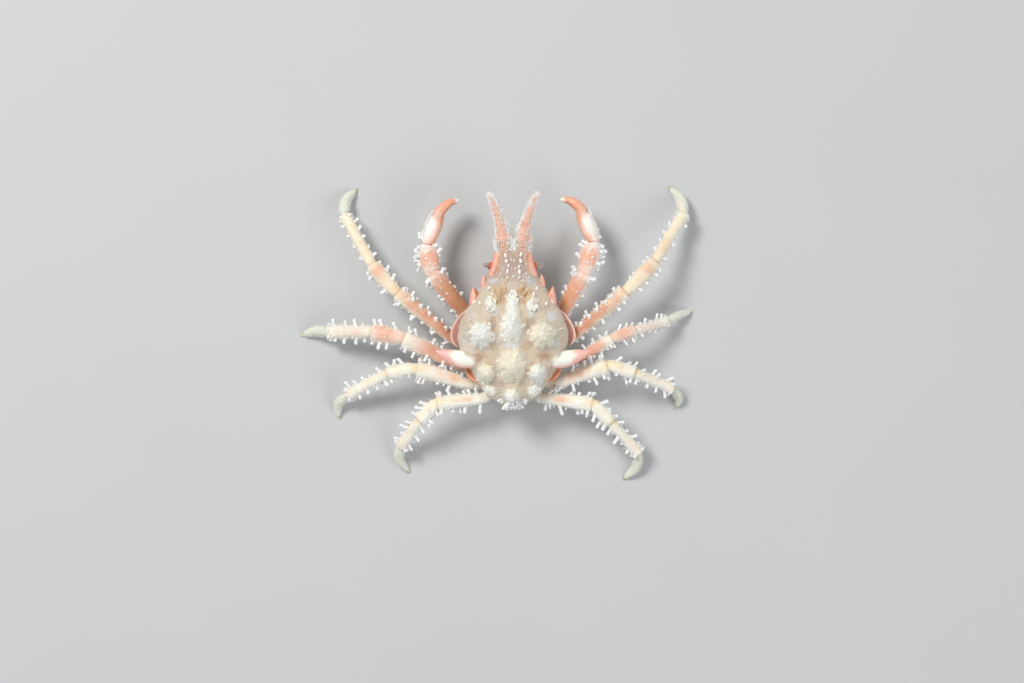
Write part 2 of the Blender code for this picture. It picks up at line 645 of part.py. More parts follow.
def limb(pair, side_name):
    """The courses of the four named segments of a walking leg or a pincer limb."""
    joints = limb_joints(pair, side_name)
    thick = [t * POSES[pair, side_name].size for t in THICKNESS[pair]]
    ways = [(b - a).normalized() for a, b in zip(joints, joints[1:])]
    turns = [(a + b).normalized() for a, b in zip(ways, ways[1:])]
    seat, outward = coxa_seat(pair, side_name)
    name = f"{pair}_{side_name}"
    hip = seat.lerp(joints[0], 0.4) + outward * GAP
    middles = [a.lerp(b, 0.5) for a, b in zip(joints, joints[1:])]
    first = (seat - outward * GAP / 2, hip, joints[0], middles[0], joints[1])
    found = [
        segment(name, "merus", first, thick[0], outward, turns[0]),
        segment(name, "carpus", (joints[1], middles[1], joints[2]), thick[1], turns[0], turns[1]),
    ]
    if pair == "claw":
        return found + pincer(name, joints, thick, turns)
    found.append(segment(name, "propodus", (joints[2], middles[2], joints[3]), thick[2], turns[1], turns[2]))
    found.append(segment(name, "dactylus", joints[3:], thick[3], turns[2]))
    return found


def pincer(name, joints, thick, turns):
    """The courses of the palm and of the movable finger that lies above the fixed one."""
    wrist, knuckle, tip = joints[2:]
    middle = wrist.lerp(knuckle, 0.5)
    palm = segment(name, "palm", (wrist, middle, knuckle), thick[2], turns[1], turns[2], PALM_DEPTH)
    rise = UP * FINGER_SPREAD
    bend = knuckle.lerp(tip, 0.5) + FINGER_BOW
    free = (knuckle + rise * 0.75, bend + rise * 0.7, tip + rise * 0.2)
    return [palm, segment(name, "finger", free, thick[3], turns[2], height=FINGER_DEPTH)]


def fixed_finger(side_name):
    """The mesh of the finger that is one piece with the palm, rooted in the palm's lower half."""
    wrist, knuckle, tip = limb_joints("claw", side_name)[2:]
    drop = UP * FINGER_SPREAD
    bend = knuckle.lerp(tip, 0.5) + FINGER_BOW
    points = (wrist.lerp(knuckle, 0.72) - drop * 0.6, knuckle - drop, bend - drop, tip - drop * 0.55)
    count = SEGMENT_RINGS["finger"]
    radii = segment_radii("finger", count, THICKNESS["claw"][3])
    return tube(smooth_path(points, count), radii, [r * FINGER_DEPTH for r in radii])


def stretch_clubs(stretch, rng):
    """The clubs of a limb segment or a rostral spine, each as a list of ways it could stand, the best first."""
    if stretch.kind == "rostral":
        radius, length = SPINULE
        return [
            [stretch.club((k + 0.6) / (count + 1), bearing + rng.uniform(-15, 15), length, radius, SPINULE_LEAN)]
            for bearing, count in SPINULE_ROWS
            for k in range(count)
        ]
    pair = stretch.name.split("_")[0]
    size = POSES[pair, "left" if stretch.side < 0 else "right"].size
    rows = CLAW_ROWS if pair == "claw" else CLUB_ROWS
    found = []
    for bearing, start, end, share in rows.get(stretch.kind, ()):
        count = max(2, round(stretch.length() * (end - start) / CLUB_SPACING[pair]) + 1)
        for k in range(count):
            place = start + (end - start) * (k + rng.uniform(-0.2, 0.2)) / (count - 1)
            length = CLUB_LENGTH[pair] * share * size * rng.uniform(0.75, 1.2)
            turn = bearing + CLUB_STAGGER * (-1) ** k + rng.uniform(-6, 6)
            upward = 1 if turn < 90 else -1
            found.append([stretch.club(place, turn + upward * bend, length, CLUB_RADIUS) for bend in CLUB_BENDS])
    return found


def landed(tree, start, way, shape, depth=0.8):
    """A club of the given radius and length where a line from outside first meets the carapace."""
    point, normal, _, _ = tree.ray_cast(start, way)
    return Club(point, (normal + UP * 0.25).normalized(), shape[1], shape[0], depth)


def carapace_clubs(tree, rng):
    """The granules on the bosses and the brow, and the fringe of clubs at the hind end."""
    found = []
    for boss in BOSSES.values():
        for side in ((1, -1) if boss.paired else (1,)):
            for k in range(boss.clubs):
                turn = k * math.pi * (3 - math.sqrt(5)) + rng.uniform(-0.2, 0.2)
                spread = BOSS_SPREAD * math.sqrt(k / boss.clubs)
                x = boss.x * side + boss.lean[0] * side * boss.height + boss.across * spread * math.cos(turn)
                y = boss.y + boss.lean[1] * boss.height + boss.along * spread * math.sin(turn)
                found.append([landed(tree, Vector((x, y, ABOVE)), -UP, BOSS_CLUB)])
    for x, y in BROW_CLUBS:
        for side in SIDES.values():
            found.append([landed(tree, Vector((x * side, y, ABOVE)), -UP, BROW_CLUB)])
    middle = Vector((0, HIND_MIDDLE[0], HIND_MIDDLE[1]))
    for k in range(HIND_FRINGE):
        turn = math.radians(HIND_FRINGE_SPREAD * (2 * k / (HIND_FRINGE - 1) - 1))
        out = Vector((math.sin(turn), -math.cos(turn), 0.12 * (-1) ** k))
        club = landed(tree, middle + out * HIND_REACH, -out, HIND_CLUB)
        found.append([replace(club, way=out.normalized(), length=club.length * rng.uniform(0.8, 1.15))])
    return found


def clear_length(club, name, trees, grown):
    """How far the club can stand out before it comes too near another node or its clubs."""
    steps = club.spine()
    near = [other for owner, other in grown if owner != name and (other.foot - club.foot).length < 4]
    for k, point in enumerate(steps):
        blocked = point.z < club.radius + FLOOR_CLEARANCE
        blocked = blocked or any(tree.find_nearest(point, club.radius + GAP)[0] for tree in trees)
        for other in near:
            reach = club.radius + other.radius + GAP
            blocked = blocked or any((point - p).length < reach for p in other.spine())
        if blocked:
            return club.length * (k - 1) / (len(steps) - 1)
    return club.length


def best_club(choices, name, trees, grown):
    """The first way of standing that is clear to its full length, or the longest, or None if all are short."""
    lengths = [clear_length(club, name, trees, grown) for club in choices]
    longest = max(lengths)
    full = [club for club, length in zip(choices, lengths) if length == club.length]
    if full:
        return full[0]
    return replace(choices[lengths.index(longest)], length=longest) if longest >= SHORTEST_CLUB else None


def grow_clubs(nodes, stretches):
    """Grows each node's clubs and fuses them to it, clear of every other node."""
    rng = random.Random(SEED)
    trees = {name: tree_of(node) for name, node in nodes.items()}
    wanted = {stretch.name: stretch_clubs(stretch, rng) for stretch in stretches}
    wanted["carapace"] = carapace_clubs(trees["carapace"], rng)
    grown = []
    for name, clubs in wanted.items():
        others = [tree for owner, tree in trees.items() if owner != name]
        best = [best_club(choices, name, others, grown) for choices in clubs]
        kept = [club for club in best if club]
        fuse(nodes[name], [club.mesh() for club in kept])
        grown += [(name, club) for club in kept]


def tree_of(node):
    """A search tree of a node's surface, in millimetres."""
    bm = bmesh.new()
    bm.from_mesh(node.data)
    bmesh.ops.scale(bm, vec=Vector((1, 1, 1)) / MM, verts=bm.verts)
    tree = BVHTree.FromBMesh(bm)
    bm.free()
    return tree


def centre_on_floor(nodes):
    """Moves every node so that the middle of the footprint is the origin, with the floor left at z = 0."""
    corners = [v.co for node in nodes for v in node.data.vertices]
    middle = Vector([(min(c[k] for c in corners) + max(c[k] for c in corners)) / 2 for k in range(2)] + [0])
    for node in nodes:
        for vert in node.data.vertices:
            vert.co -= middle


def clear_scene():
    for old in list(bpy.data.objects):
        bpy.data.objects.remove(old)


def main():
    clear_scene()
    stretches = []
    made = [fuse(build_carapace(), edge_pieces()), build_sternum(), build_pleon()]
    for side_name, side in SIDES.items():
        stretches.append(rostral_spine(side_name, side))
        made += [build(side_name, side) for build in (build_eye, build_antenna, build_maxilliped)]
        for pair in COXA_AT:
            stretches += limb(pair, side_name)
    made += [stretch.build() for stretch in stretches]
    nodes = {node.name: node for node in made}
    for side_name in SIDES:
        fuse(nodes[f"claw_{side_name}_palm"], [fixed_finger(side_name)])
    for name, node in nodes.items():
        if name.endswith("dactylus"):
            cut_at_floor(node)
    grow_clubs(nodes, stretches)
    for node in made:
        node.data.shade_smooth()
    centre_on_floor(made)


main()
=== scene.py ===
import math
import random

import bmesh
import bpy
import numpy as np
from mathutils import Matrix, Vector, noise
from mathutils.bvhtree import BVHTree


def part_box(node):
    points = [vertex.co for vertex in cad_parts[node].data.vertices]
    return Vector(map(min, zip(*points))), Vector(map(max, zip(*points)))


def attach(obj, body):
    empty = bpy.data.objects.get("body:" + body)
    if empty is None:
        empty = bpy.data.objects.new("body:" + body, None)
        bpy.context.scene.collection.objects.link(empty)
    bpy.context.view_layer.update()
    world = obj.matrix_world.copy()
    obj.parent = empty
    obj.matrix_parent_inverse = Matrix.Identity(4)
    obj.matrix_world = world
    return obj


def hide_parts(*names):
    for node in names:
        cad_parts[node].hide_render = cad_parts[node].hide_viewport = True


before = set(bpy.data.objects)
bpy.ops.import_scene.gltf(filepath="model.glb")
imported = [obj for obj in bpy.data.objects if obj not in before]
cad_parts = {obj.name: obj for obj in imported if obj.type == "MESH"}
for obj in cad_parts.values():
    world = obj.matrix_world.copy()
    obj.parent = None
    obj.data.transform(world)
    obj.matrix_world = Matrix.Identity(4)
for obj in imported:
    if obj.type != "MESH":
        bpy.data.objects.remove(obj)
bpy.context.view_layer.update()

# Lengths are in millimetres: y = 0 is the hind margin of the carapace, x runs to the crab's right and the
# floor is z = 0. A piece is moved to its place in the frame, in metres, when it is finished.
MM = 0.001
ABOVE = 40.0  # a height that is clear above the crab
UP = Vector((0, 0, 1))
SIDES = {"left": -1, "right": 1}
STERNUM_START = 0.5
low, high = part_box("sternum")
PLACE = np.array([(low.x + high.x) / 2, low.y - STERNUM_START * MM, 0.0])
TUFT_PATCH = 0.003
WORLD_LIGHT = 0.41
# How many small things grow on the body
FROST_GRAINS, PILE_HAIRS, BOSS_HAIRS, TANGLED_SETAE = 7500, 7000, 4200, 34
ROSTRAL_SPINULES, ROSTRAL_BRISTLES = 1200, 170
STERNUM_GRAINS, PLEON_GRAINS = 620, 420

# Shape of the body

REAR = -0.6
FRONT = 26.4
HALF_WIDTH = (
    (REAR, 2.2), (1.5, 4.7), (5, 7.0), (8.5, 8.75), (11, 9.15), (14, 8.2), (16.5, 6.8),
    (19, 5.1), (21, 3.8), (22.5, 3.15), (24.5, 3.1), (FRONT, 3.15),
)
DORSAL_LINE = (
    (REAR, 9.4), (1.5, 11.0), (5, 12.3), (9, 13.0), (14, 13.2), (18, 12.8), (22, 12.2), (FRONT, 12.2),
)
EDGE_LINE = ((REAR, 8.7), (5, 9.0), (12, 9.2), (18, 9.7), (22, 10.3), (FRONT, 11.0))
SHELF_LINE = ((REAR, 8.0), (5, 7.6), (12, 7.5), (18, 8.1), (22, 9.2), (FRONT, 10.2))
KEEL_LINE = (
    (REAR, 7.6), (3, 6.9), (12.5, 6.8), (13.7, 5.2), (17.5, 5.2), (21, 7.0), (24.5, 9.1), (FRONT, 9.9),
)
UNDERSIDE = ((0.93, 0.45), (0.8, 0.0), (0.6, 0.0), (0.42, -1.0), (0.2, -1.0))
FRONT_PLATES = ("hepatic_lobe", "postorbital_tooth", "orbital_eave")
FRONT_GROOVE = 0.75
CARAPACE_STATIONS = 170
ARCH_POINTS = 121
UNDERSIDE_POINTS = 57

# x, y, half breadth, half length, height, lean to the side, lean along, paired, scales
BOSSES = {
    "gastric": (0, 12.2, 2.6, 3.5, 2.1, 0.0, 0.0, False, 110),
    "gastric_ridge": (0.1, 15.3, 1.35, 3.6, 0.9, 0.0, 0.0, False, 38),
    "epigastric": (3.4, 16.1, 1.3, 1.6, 0.7, 0.0, 0.0, True, 9),
    "branchial": (5.1, 10.9, 2.9, 2.9, 2.6, 0.0, -0.05, True, 125),
    "cardiac": (0, 6.1, 3.1, 3.6, 2.2, 0.0, -0.25, False, 135),
    "hind_branchial": (4.2, 5.0, 1.9, 2.1, 1.9, 0.05, -0.4, True, 62),
    "intestinal": (0, 1.1, 1.9, 1.8, 1.3, 0.0, -0.7, False, 32),
    "horn_root": (7.2, 6.9, 2.4, 2.3, 0.55, 1.3, 0.0, True, 0),
    "hind_corner": (3.8, 1.5, 1.6, 1.3, 0.35, 0.0, 0.0, True, 16),
}
BOSS_SHIFT = -0.25  # the knobs stand a little to the left of the middle
# The bosses that are yellower than the others, each with its side
STRAW_BOSSES = (("branchial", 1), ("cardiac", -1), ("hind_branchial", -1))

# Soft patches on both sides, and some on the right alone: x, y, half breadth, half length and strength
# The valleys between the bosses: browner pigment there, and painted shade in their hollows
VALLEY_BROWN_AND_SHADE = (
    (3.15, 12.4, 1.6, 3.4, 0.9), (5.6, 7.3, 3.0, 1.6, 0.9), (3.6, 5.2, 1.6, 2.9, 0.85),
    (2.5, 9.1, 2.0, 2.1, 0.6), (6.9, 4.8, 1.6, 2.2, 0.55), (2.1, 17.4, 2.3, 2.4, 0.9),
    (5.5, 15.3, 1.7, 1.7, 0.5), (1.6, 2.9, 1.8, 1.4, 0.5),
)
FROSTED = (
    (2.9, 19.8, 1.6, 1.0, 0.9), (0.0, 9.4, 1.8, 1.3, 0.6), (3.0, 14.9, 1.2, 1.9, 0.6),
    (7.4, 9.6, 1.3, 1.8, 0.6), (6.5, 13.8, 1.6, 1.8, 0.7), (1.6, 10.6, 1.0, 1.5, 0.6),
    (4.6, 2.9, 1.2, 1.0, 0.6), (6.6, 8.0, 1.4, 1.0, 0.5), (2.9, 25.2, 0.8, 2.2, 1.0),
    (0.0, 25.8, 0.6, 2.0, 0.3),
)
# Bluish frost patches on the right alone, partly frost and partly painted cool light falling on that side
FROST_AND_COOL_LIGHT_RIGHT = (
    (5.6, 13.9, 2.6, 2.2, 0.3), (3.0, 12.6, 0.9, 2.6, 0.4), (6.7, 9.3, 1.6, 1.6, 0.5),
    (3.8, 2.7, 1.5, 1.3, 0.7),
)
GOLDEN = (
    (2.0, 17.3, 2.3, 2.5, 1.1), (1.3, 24.2, 0.7, 0.9, 0.8), (0.6, 20.0, 0.9, 0.8, 0.4),
    (3.6, 14.6, 0.9, 1.2, 0.5),
)
GOLDEN_RIGHT = ((2.8, 9.9, 0.9, 1.7, 0.7), (5.9, 12.6, 1.6, 1.2, 0.35))
DUSKY = (
    (3.0, 19.7, 1.5, 1.1, 1.0), (3.4, 13.6, 1.1, 2.0, 0.5), (0.8, 9.2, 2.0, 1.1, 0.5),
    (2.7, 10.4, 1.0, 1.6, 0.6), (0, 26, 1.2, 1.6, 0.7),
)
SPINE_RIDGE = ((7.4, 6.6, 1.9, 1.3, 1.0),)  # the cream ridge that runs out to each lateral spine

# Plates and horns on the edge of the carapace: centre line, half width in plan and half thickness
PLATES = {
    "branchial_plate": (
        ((6.9, 15.3, 8.9), (8.2, 13.7, 8.8), (9.2, 11.9, 8.7), (9.45, 10.4, 8.7), (9.05, 9.1, 8.8)),
        (0.35, 0.85, 1.0, 1.0, 0.55),
        (0.3, 0.4, 0.4, 0.4, 0.3),
    ),
    "hind_plate": (
        ((7.2, 6.3, 8.9), (7.3, 5.1, 8.7), (6.6, 4.1, 8.7), (5.3, 3.3, 8.8), (4.2, 3.0, 8.9)),
        (0.45, 0.75, 0.75, 0.6, 0.35),
        (0.3, 0.38, 0.38, 0.35, 0.28),
    ),
    "hepatic_lobe": (
        (
            (5.15, 14.8, 9.7), (5.85, 15.9, 10.15), (6.2, 17.0, 10.35), (6.48, 18.1, 10.45),
            (6.62, 18.95, 10.5),
        ),
        (0.7, 1.4, 1.12, 0.5, 0.12), (0.6, 1.05, 0.9, 0.5, 0.14),
    ),
    "postorbital_tooth": (
        ((4.2, 17.9, 9.9), (4.6, 18.9, 10.2), (4.78, 19.9, 10.4), (4.7, 20.95, 10.5)),
        (0.7, 0.85, 0.5, 0.1),
        (0.6, 0.7, 0.45, 0.12),
    ),
    "orbital_eave": (
        ((3.9, 19.2, 10.5), (3.4, 20.3, 11.0), (2.75, 21.9, 11.35), (2.45, 23.3, 11.6), (2.65, 24.9, 11.6)),
        (0.5, 0.92, 1.0, 0.94, 0.5),
        (0.34, 0.44, 0.46, 0.42, 0.28),
    ),
}
LATERAL_SPINE = (
    (
        (5.5, 6.2, 10.3), (6.8, 6.5, 10.65), (8.4, 6.8, 10.6), (9.8, 7.15, 10.6), (11.3, 7.65, 10.75),
        (12.9, 8.2, 10.95),
    ),
    (0.8, 1.25, 1.45, 1.3, 0.85, 0.12), (0.7, 1.15, 1.2, 0.98, 0.62, 0.12),
)

ROSTRAL_BASE = (1.58, FRONT + 0.3, 11.05)
ROSTRAL_TIP = (4.2, 34.4, 12.3)
ROSTRAL_ROOT = (1.3, 24.2, 10.9)
ROSTRAL_HALF_WIDTH = 1.38
ROSTRAL_TAPER = 0.8
ROSTRAL_SWELL = 0.8
ROSTRAL_DEPTH = 0.82
ROSTRAL_BOW = -0.35

STERNUM_LINE = ((0.5, 2.4), (1.2, 3.2), (3.2, 4.2), (5.5, 4.4), (8.5, 4.4), (11.0, 4.1), (12.3, 2.8))
STERNUM_TOP = 6.45
STERNUM_FLOOR = 3.9
STERNAL_SUTURES = (2.65, 5.05, 7.35, 9.7)
PLEON_PATH = (
    (-0.3, 7.1), (-0.32, 5.4), (-0.3, 4.0), (-0.06, 3.34), (0.5, 3.08), (2.5, 3.05), (6.0, 3.05), (9.6, 3.1),
)
PLEON_HALF_WIDTH = (1.6, 1.8, 1.9, 1.95, 1.95, 1.9, 1.55, 0.85)
PLEON_JOINTS = (0.9, 1.9, 2.8, 4.0, 5.0, 5.9)
# Parts of the face: centre line, half widths, thickness and whether one is on each side
FACE = {
    "antennal_plate": (
        ((2.95, 19.2, 8.15), (2.8, 20.9, 8.6), (2.45, 22.5, 8.8), (2.2, 23.5, 8.5)),
        (0.5, 0.85, 0.8, 0.5), 0.5, True,
    ),
    "antennal_tooth": (
        ((2.95, 21.8, 8.8), (3.05, 22.8, 9.05), (3.05, 23.7, 9.2)), (0.45, 0.3, 0.07), 0.28, True,
    ),
    "orbit_floor": (((3.2, 19.6, 8.9), (3.5, 20.9, 9.3), (3.4, 21.9, 9.35)), (0.4, 0.5, 0.3), 0.3, True),
    "antennule_base": (
        ((0.95, 22.6, 8.0), (0.95, 24.2, 8.95), (0.85, 25.5, 9.5)), (0.4, 0.42, 0.32), 0.34, True,
    ),
    "antennule": (
        ((0.85, 25.6, 9.5), (0.75, 26.3, 9.35), (0.62, 25.8, 9.05), (0.6, 24.6, 8.6)),
        (0.26, 0.24, 0.19, 0.09), 0.2, True,
    ),
    "epistome": (((-1.6, 18.5, 5.8), (0.0, 19.2, 6.05), (1.6, 18.5, 5.8)), (0.3, 0.55, 0.3), 0.4, False),
}
# The outer mouthpart: centre line, half widths and thickness of a long plate, a short one and a folded palp
MAXILLIPED = (
    ("ischium", ((1.3, 12.9, 4.0), (1.4, 14.2, 4.0), (1.42, 15.45, 4.03)), (0.85, 1.2, 1.2), 0.44),
    ("merus", ((1.42, 15.55, 4.03), (1.42, 16.4, 4.1), (1.38, 17.35, 4.15)), (1.15, 1.28, 0.95), 0.42),
    (
        "palp", ((1.9, 17.2, 4.0), (1.1, 17.35, 3.9), (0.5, 16.6, 3.85), (0.45, 15.6, 3.85)),
        (0.3, 0.34, 0.3, 0.16), 0.28,
    ),
)
LOBE_END = 0.7  # how much narrower the parts of the face and the mouth are at their ends
# Rows of grains below the edge of the shell: line, number on each side and half breadth
SIDE_ROWS = (
    (((1.9, 18.6, 6.2), (2.5, 17.2, 5.9), (3.4, 15.0, 5.9)), 9, 0.16),
    (((3.4, 21.0, 9.2), (4.6, 18.4, 8.6), (6.2, 16.2, 8.2), (7.6, 13.6, 8.0)), 15, 0.17),
    (((4.0, 20.2, 10.0), (5.6, 17.6, 9.4), (7.2, 15.0, 9.1)), 9, 0.2),
    (((7.9, 8.0, 8.4), (7.2, 5.6, 8.3), (5.6, 3.2, 8.3), (3.2, 0.9, 8.3)), 13, 0.15),
    (((1.6, 20.2, 7.1), (1.5, 21.6, 7.8), (1.3, 23.0, 8.6)), 5, 0.12),
)
ANTENNULE_PIT = ((0.85, 24.5, 0.6, 1.3, 1.0),)
ANTENNULE_DEPTH = 0.45
ORBIT_PIT = (22.2, 10.1, 1.1, 0.75, 0.3)  # y, z, half length, half height and depth
EYE_SEAT = (3.65, 22.3, 10.1)
EYE_WAY = (1.0, 0.12, 0.05)
EYE_REACH = 1.5
EYE_STALK_RADIUS = 0.45
EYE_RADIUS = 0.58
EYE_STALK = (
    (0.0, 0.9), (0.2, 1.05), (0.32, 1.16), (0.44, 1.28), (0.54, 1.36), (0.62, 1.37), (0.67, 1.3), (0.68, 1.0),
)
ANTENNA_PATH = ((2.15, 23.2, 8.1), (2.1, 25.0, 8.6), (2.0, 27.0, 8.9), (2.15, 29.5, 9.3), (2.5, 31.5, 9.7))

# x, y, length and half breadth of the large grains of the brow
BROW_GRAINS = (
    (1.3, 24.0, 0.62, 0.27), (1.1, 23.15, 0.58, 0.27), (0.85, 22.2, 0.46, 0.2), (0.95, 21.35, 0.6, 0.28),
    (0.95, 20.3, 0.42, 0.18), (3.9, 18.5, 0.5, 0.26), (3.4, 17.6, 0.5, 0.24), (3.05, 16.4, 0.75, 0.26),
    (3.75, 15.7, 0.55, 0.3), (3.45, 15.0, 0.55, 0.3), (2.9, 15.1, 0.5, 0.22), (4.1, 15.2, 0.45, 0.22),
    (0.3, 17.9, 0.55, 0.25), (0.5, 17.3, 0.5, 0.25), (0.75, 16.7, 0.45, 0.2), (2.1, 21.0, 0.3, 0.14),
    (0.25, 21.9, 0.3, 0.12), (0.3, 23.3, 0.32, 0.14), (5.4, 16.1, 0.45, 0.26), (1.9, 19.9, 0.3, 0.14),
    (0.2, 25.0, 0.3, 0.14), (0.6, 19.3, 0.3, 0.13), (0.15, 20.4, 0.3, 0.12), (2.6, 20.2, 0.26, 0.13),
    (2.3, 22.4, 0.24, 0.1),
)
# Foot and tip of each hooked bristle, seen from above
HOOKED_SETAE = (
    ((2.05, 16.5), (2.85, 18.35)), ((1.6, 17.2), (2.4, 18.45)), ((1.15, 17.95), (1.7, 19.45)),
    ((2.1, 16.3), (3.1, 17.5)), ((3.05, 16.2), (3.25, 17.3)), ((3.4, 16.0), (3.75, 17.05)),
    ((0.85, 19.4), (1.65, 20.0)), ((1.7, 17.5), (2.55, 18.7)), ((2.5, 16.4), (3.35, 18.0)),
    ((0.6, 25.2), (1.1, 26.1)), ((1.9, 25.6), (1.0, 25.2)),
)
# Lift, length and bearings of each rank of clubs at the hind end
HIND_FRINGE = (
    (0.1, 1.4, (-32, -19, -6, 7, 20, 33)), (0.42, 1.2, (-25, -13, 0, 13, 26)), (-0.22, 1.0, (-14, 0, 15)),
    (0.1, 0.75, (-62, -50, 49, 61)), (0.8, 0.7, (-20, 0, 20)),
)

# Shape of the limbs

GAP = 0.3
COXA_AT = {"claw": 10.95, "leg1": 8.5, "leg2": 6.2, "leg3": 3.9, "leg4": 1.4}
COXA_HEIGHT = {"claw": 5.1, "leg1": 5.1, "leg2": 5.1, "leg3": 5.05, "leg4": 5.15}
THICKNESS = {
    "claw": (1.45, 1.6, 1.5, 0.85),
    "leg1": (1.15, 1.2, 0.95, 0.82),
    "leg2": (1.32, 1.42, 1.12, 0.82),
    "leg3": (1.28, 1.1, 0.92, 0.68),
    "leg4": (1.15, 1.1, 0.95, 0.75),
}
JOINT_HEIGHTS = {
    "claw": (5.6, 7.2, 7.4, 7.1, 6.6),
    "leg1": (6.3, 8.4, 7.6, 3.2, 1.5, 0.05),
    "leg2": (6.0, 8.2, 7.4, 3.2, 1.5, 0.05),
    "leg3": (5.6, 7.8, 7.0, 3.0, 1.4, 0.05),
    "leg4": (6.1, 7.4, 6.6, 3.0, 1.4, 0.05),
}
REGROWN = 0.72
# Shoulder, headings in degrees (0 straight out, 90 forward), reaches in plan and size
POSES = {
    ("claw", "left"): ((7.5, 14.0), (50.2, 80.2, 110.7, 150.0), (9.55, 4.6, 5.95, 3.85), 1.0),
    ("claw", "right"): ((8.2, 14.5), (61.1, 73.5, 111.0, 156.0), (8.05, 4.95, 6.1, 3.75), 1.0),
    ("leg1", "left"): ((9.7, 10.0), (39.3, 48.4, 60.3, 93.5, 133.7), (12.87, 5.73, 9.91, 2.61, 2.83), 1.0),
    ("leg1", "right"): ((9.87, 10.67), (39.6, 45.9, 58.5, 99.5, 133.1), (11.89, 6.64, 9.82, 2.47, 3.11), 1.0),
    ("leg2", "left"): ((8.54, 5.82), (24.5, 10.6, 0.1, 4.3, -18.3), (11.13, 4.89, 7.68, 2.31, 2.68), 1.0),
    ("leg2", "right"): (
        (10.38, 6.49), (31.7, 18.0, 15.5, 27.4, 13.9), (7.48, 3.78, 5.85, 2.7, 2.17), REGROWN,
    ),
    ("leg3", "left"): ((6.7, 2.6), (15.5, -10.5, -28.5, -43.7, -95.3), (10.14, 4.46, 8.06, 2.34, 2.53), 1.0),
    ("leg3", "right"): (
        (6.48, 2.75), (17.6, -17.2, -22.4, -50.7, -103.1), (10.14, 4.21, 7.2, 2.0, 1.94), 1.0,
    ),
    ("leg4", "left"): ((5.1, 0.3), (-6.8, -47.7, -53.5, -82.4, -128.5), (8.0, 3.68, 5.63, 2.36, 3.05), 1.0),
    ("leg4", "right"): ((4.9, 0.35), (-7.3, -47.0, -47.4, -97.8, -136.7), (8.7, 4.0, 7.23, 2.62, 3.16), 1.0),
}
# Half width along each segment as a share of its thickness, with the collar and the neck at its joints
PROFILES = {
    "merus": (
        (0, 0.8), (0.12, 0.84), (0.21, 0.8), (0.235, 0.72), (0.25, 0.78), (0.35, 0.84), (0.44, 0.86),
        (0.463, 0.82), (0.475, 0.74), (0.49, 0.8), (0.53, 0.86), (0.6, 0.9), (0.7, 0.95), (0.8, 1.01),
        (0.88, 1.09), (0.94, 1.16), (0.97, 1.1), (0.985, 1.0), (0.993, 0.86),
    ),
    "carpus": (
        (0.01, 0.8), (0.05, 0.86), (0.1, 0.92), (0.25, 1.01), (0.4, 1.05), (0.6, 1.08), (0.78, 1.1),
        (0.9, 1.09), (0.96, 1.02), (0.985, 0.86),
    ),
    "wrist": (
        (0.01, 0.75), (0.05, 0.84), (0.12, 0.93), (0.3, 1.04), (0.5, 1.08), (0.7, 1.05), (0.83, 0.96),
        (0.93, 0.82), (1.0, 0.66),
    ),
    "propodus": (
        (0.01, 0.78), (0.03, 0.84), (0.07, 0.91), (0.16, 0.96), (0.3, 0.97), (0.5, 0.95), (0.65, 0.97),
        (0.78, 1.02), (0.88, 1.13), (0.94, 1.18), (0.975, 1.1), (0.99, 0.92), (1.0, 0.72),
    ),
    "dactylus": (
        (0, 0.62), (0.015, 0.8), (0.05, 0.92), (0.12, 1.0), (0.25, 1.05), (0.4, 1.03), (0.53, 0.96),
        (0.64, 0.85), (0.74, 0.71), (0.81, 0.58), (0.87, 0.44), (0.91, 0.24),
    ),
    "palm": (
        (0.01, 0.62), (0.05, 0.68), (0.15, 0.79), (0.35, 0.92), (0.5, 0.95), (0.65, 0.92), (0.8, 0.83),
        (0.95, 0.7),
    ),
    "fixed_finger": (
        (0.1, 1.06), (0.25, 0.98), (0.4, 0.9), (0.55, 0.8), (0.7, 0.68), (0.83, 0.52), (0.93, 0.36),
        (1.0, 0.17),
    ),
    "finger": (
        (0, 0.5), (0.06, 0.72), (0.15, 0.88), (0.28, 0.95), (0.42, 0.93), (0.55, 0.86), (0.68, 0.74),
        (0.8, 0.58), (0.9, 0.42), (0.96, 0.3), (1.0, 0.15),
    ),
}
HORN_START = 0.84
FINGER_SPREAD = 0.92
FINGER_DEPTH = 0.72
FINGER_BOW = 0.55
PALM_DEPTH = 1.08
COURSE_STEPS = 60
TURN = 10.0  # length of a straight blank for each segment

# Pigment along each segment: middle, half length and strength of each rose patch
ROSE = {
    "claw": {"merus": ((0.6, 0.8, 1.0),), "carpus": ((0.45, 0.9, 0.8),)},
    "leg1": {
        "merus": ((0.62, 0.5, 0.8), (0.95, 0.3, 0.35)),
        "carpus": ((0.72, 0.6, 0.65), (0.2, 0.4, 0.3)),
        "propodus": ((0.3, 0.35, 0.45), (0.65, 0.25, 0.2)),
    },
    "leg2": {
        "merus": ((0.6, 0.4, 1.0), (0.85, 0.25, 0.35)),
        "carpus": ((0.45, 1.3, 0.8),),
        "propodus": ((0.4, 0.9, 0.4),),
    },
    "leg3": {
        "merus": ((0.72, 0.28, 0.6),),
        "carpus": ((0.45, 0.4, 0.25),),
        "propodus": ((0.15, 0.3, 0.25), (0.6, 0.3, 0.15)),
    },
    "leg4": {"merus": ((0.7, 0.24, 0.6),), "carpus": ((0.4, 0.5, 0.25),), "propodus": ((0.85, 0.2, 0.45),)},
}
# How far round the rose goes, in degrees either side of the top
ROSE_SPREAD = {"claw": 260, "leg1": 130, "leg2": 170, "leg3": 80, "leg4": 55}
GOLD = {"claw": 0.0, "leg1": 0.45, "leg2": 0.35, "leg3": 0.55, "leg4": 0.55}
BROWN = {"claw": 0.9, "leg1": 0.9, "leg2": 0.5, "leg3": 0.35, "leg4": 0.25}  # darker pigment near the body
# The left pincer limb is the darker one, and the right one is paler along its outer side
LEFT_CLAW_BROWN = 2.0
LIMB_MARKS = ("rose", "brown", "pale", "groove", "gold")

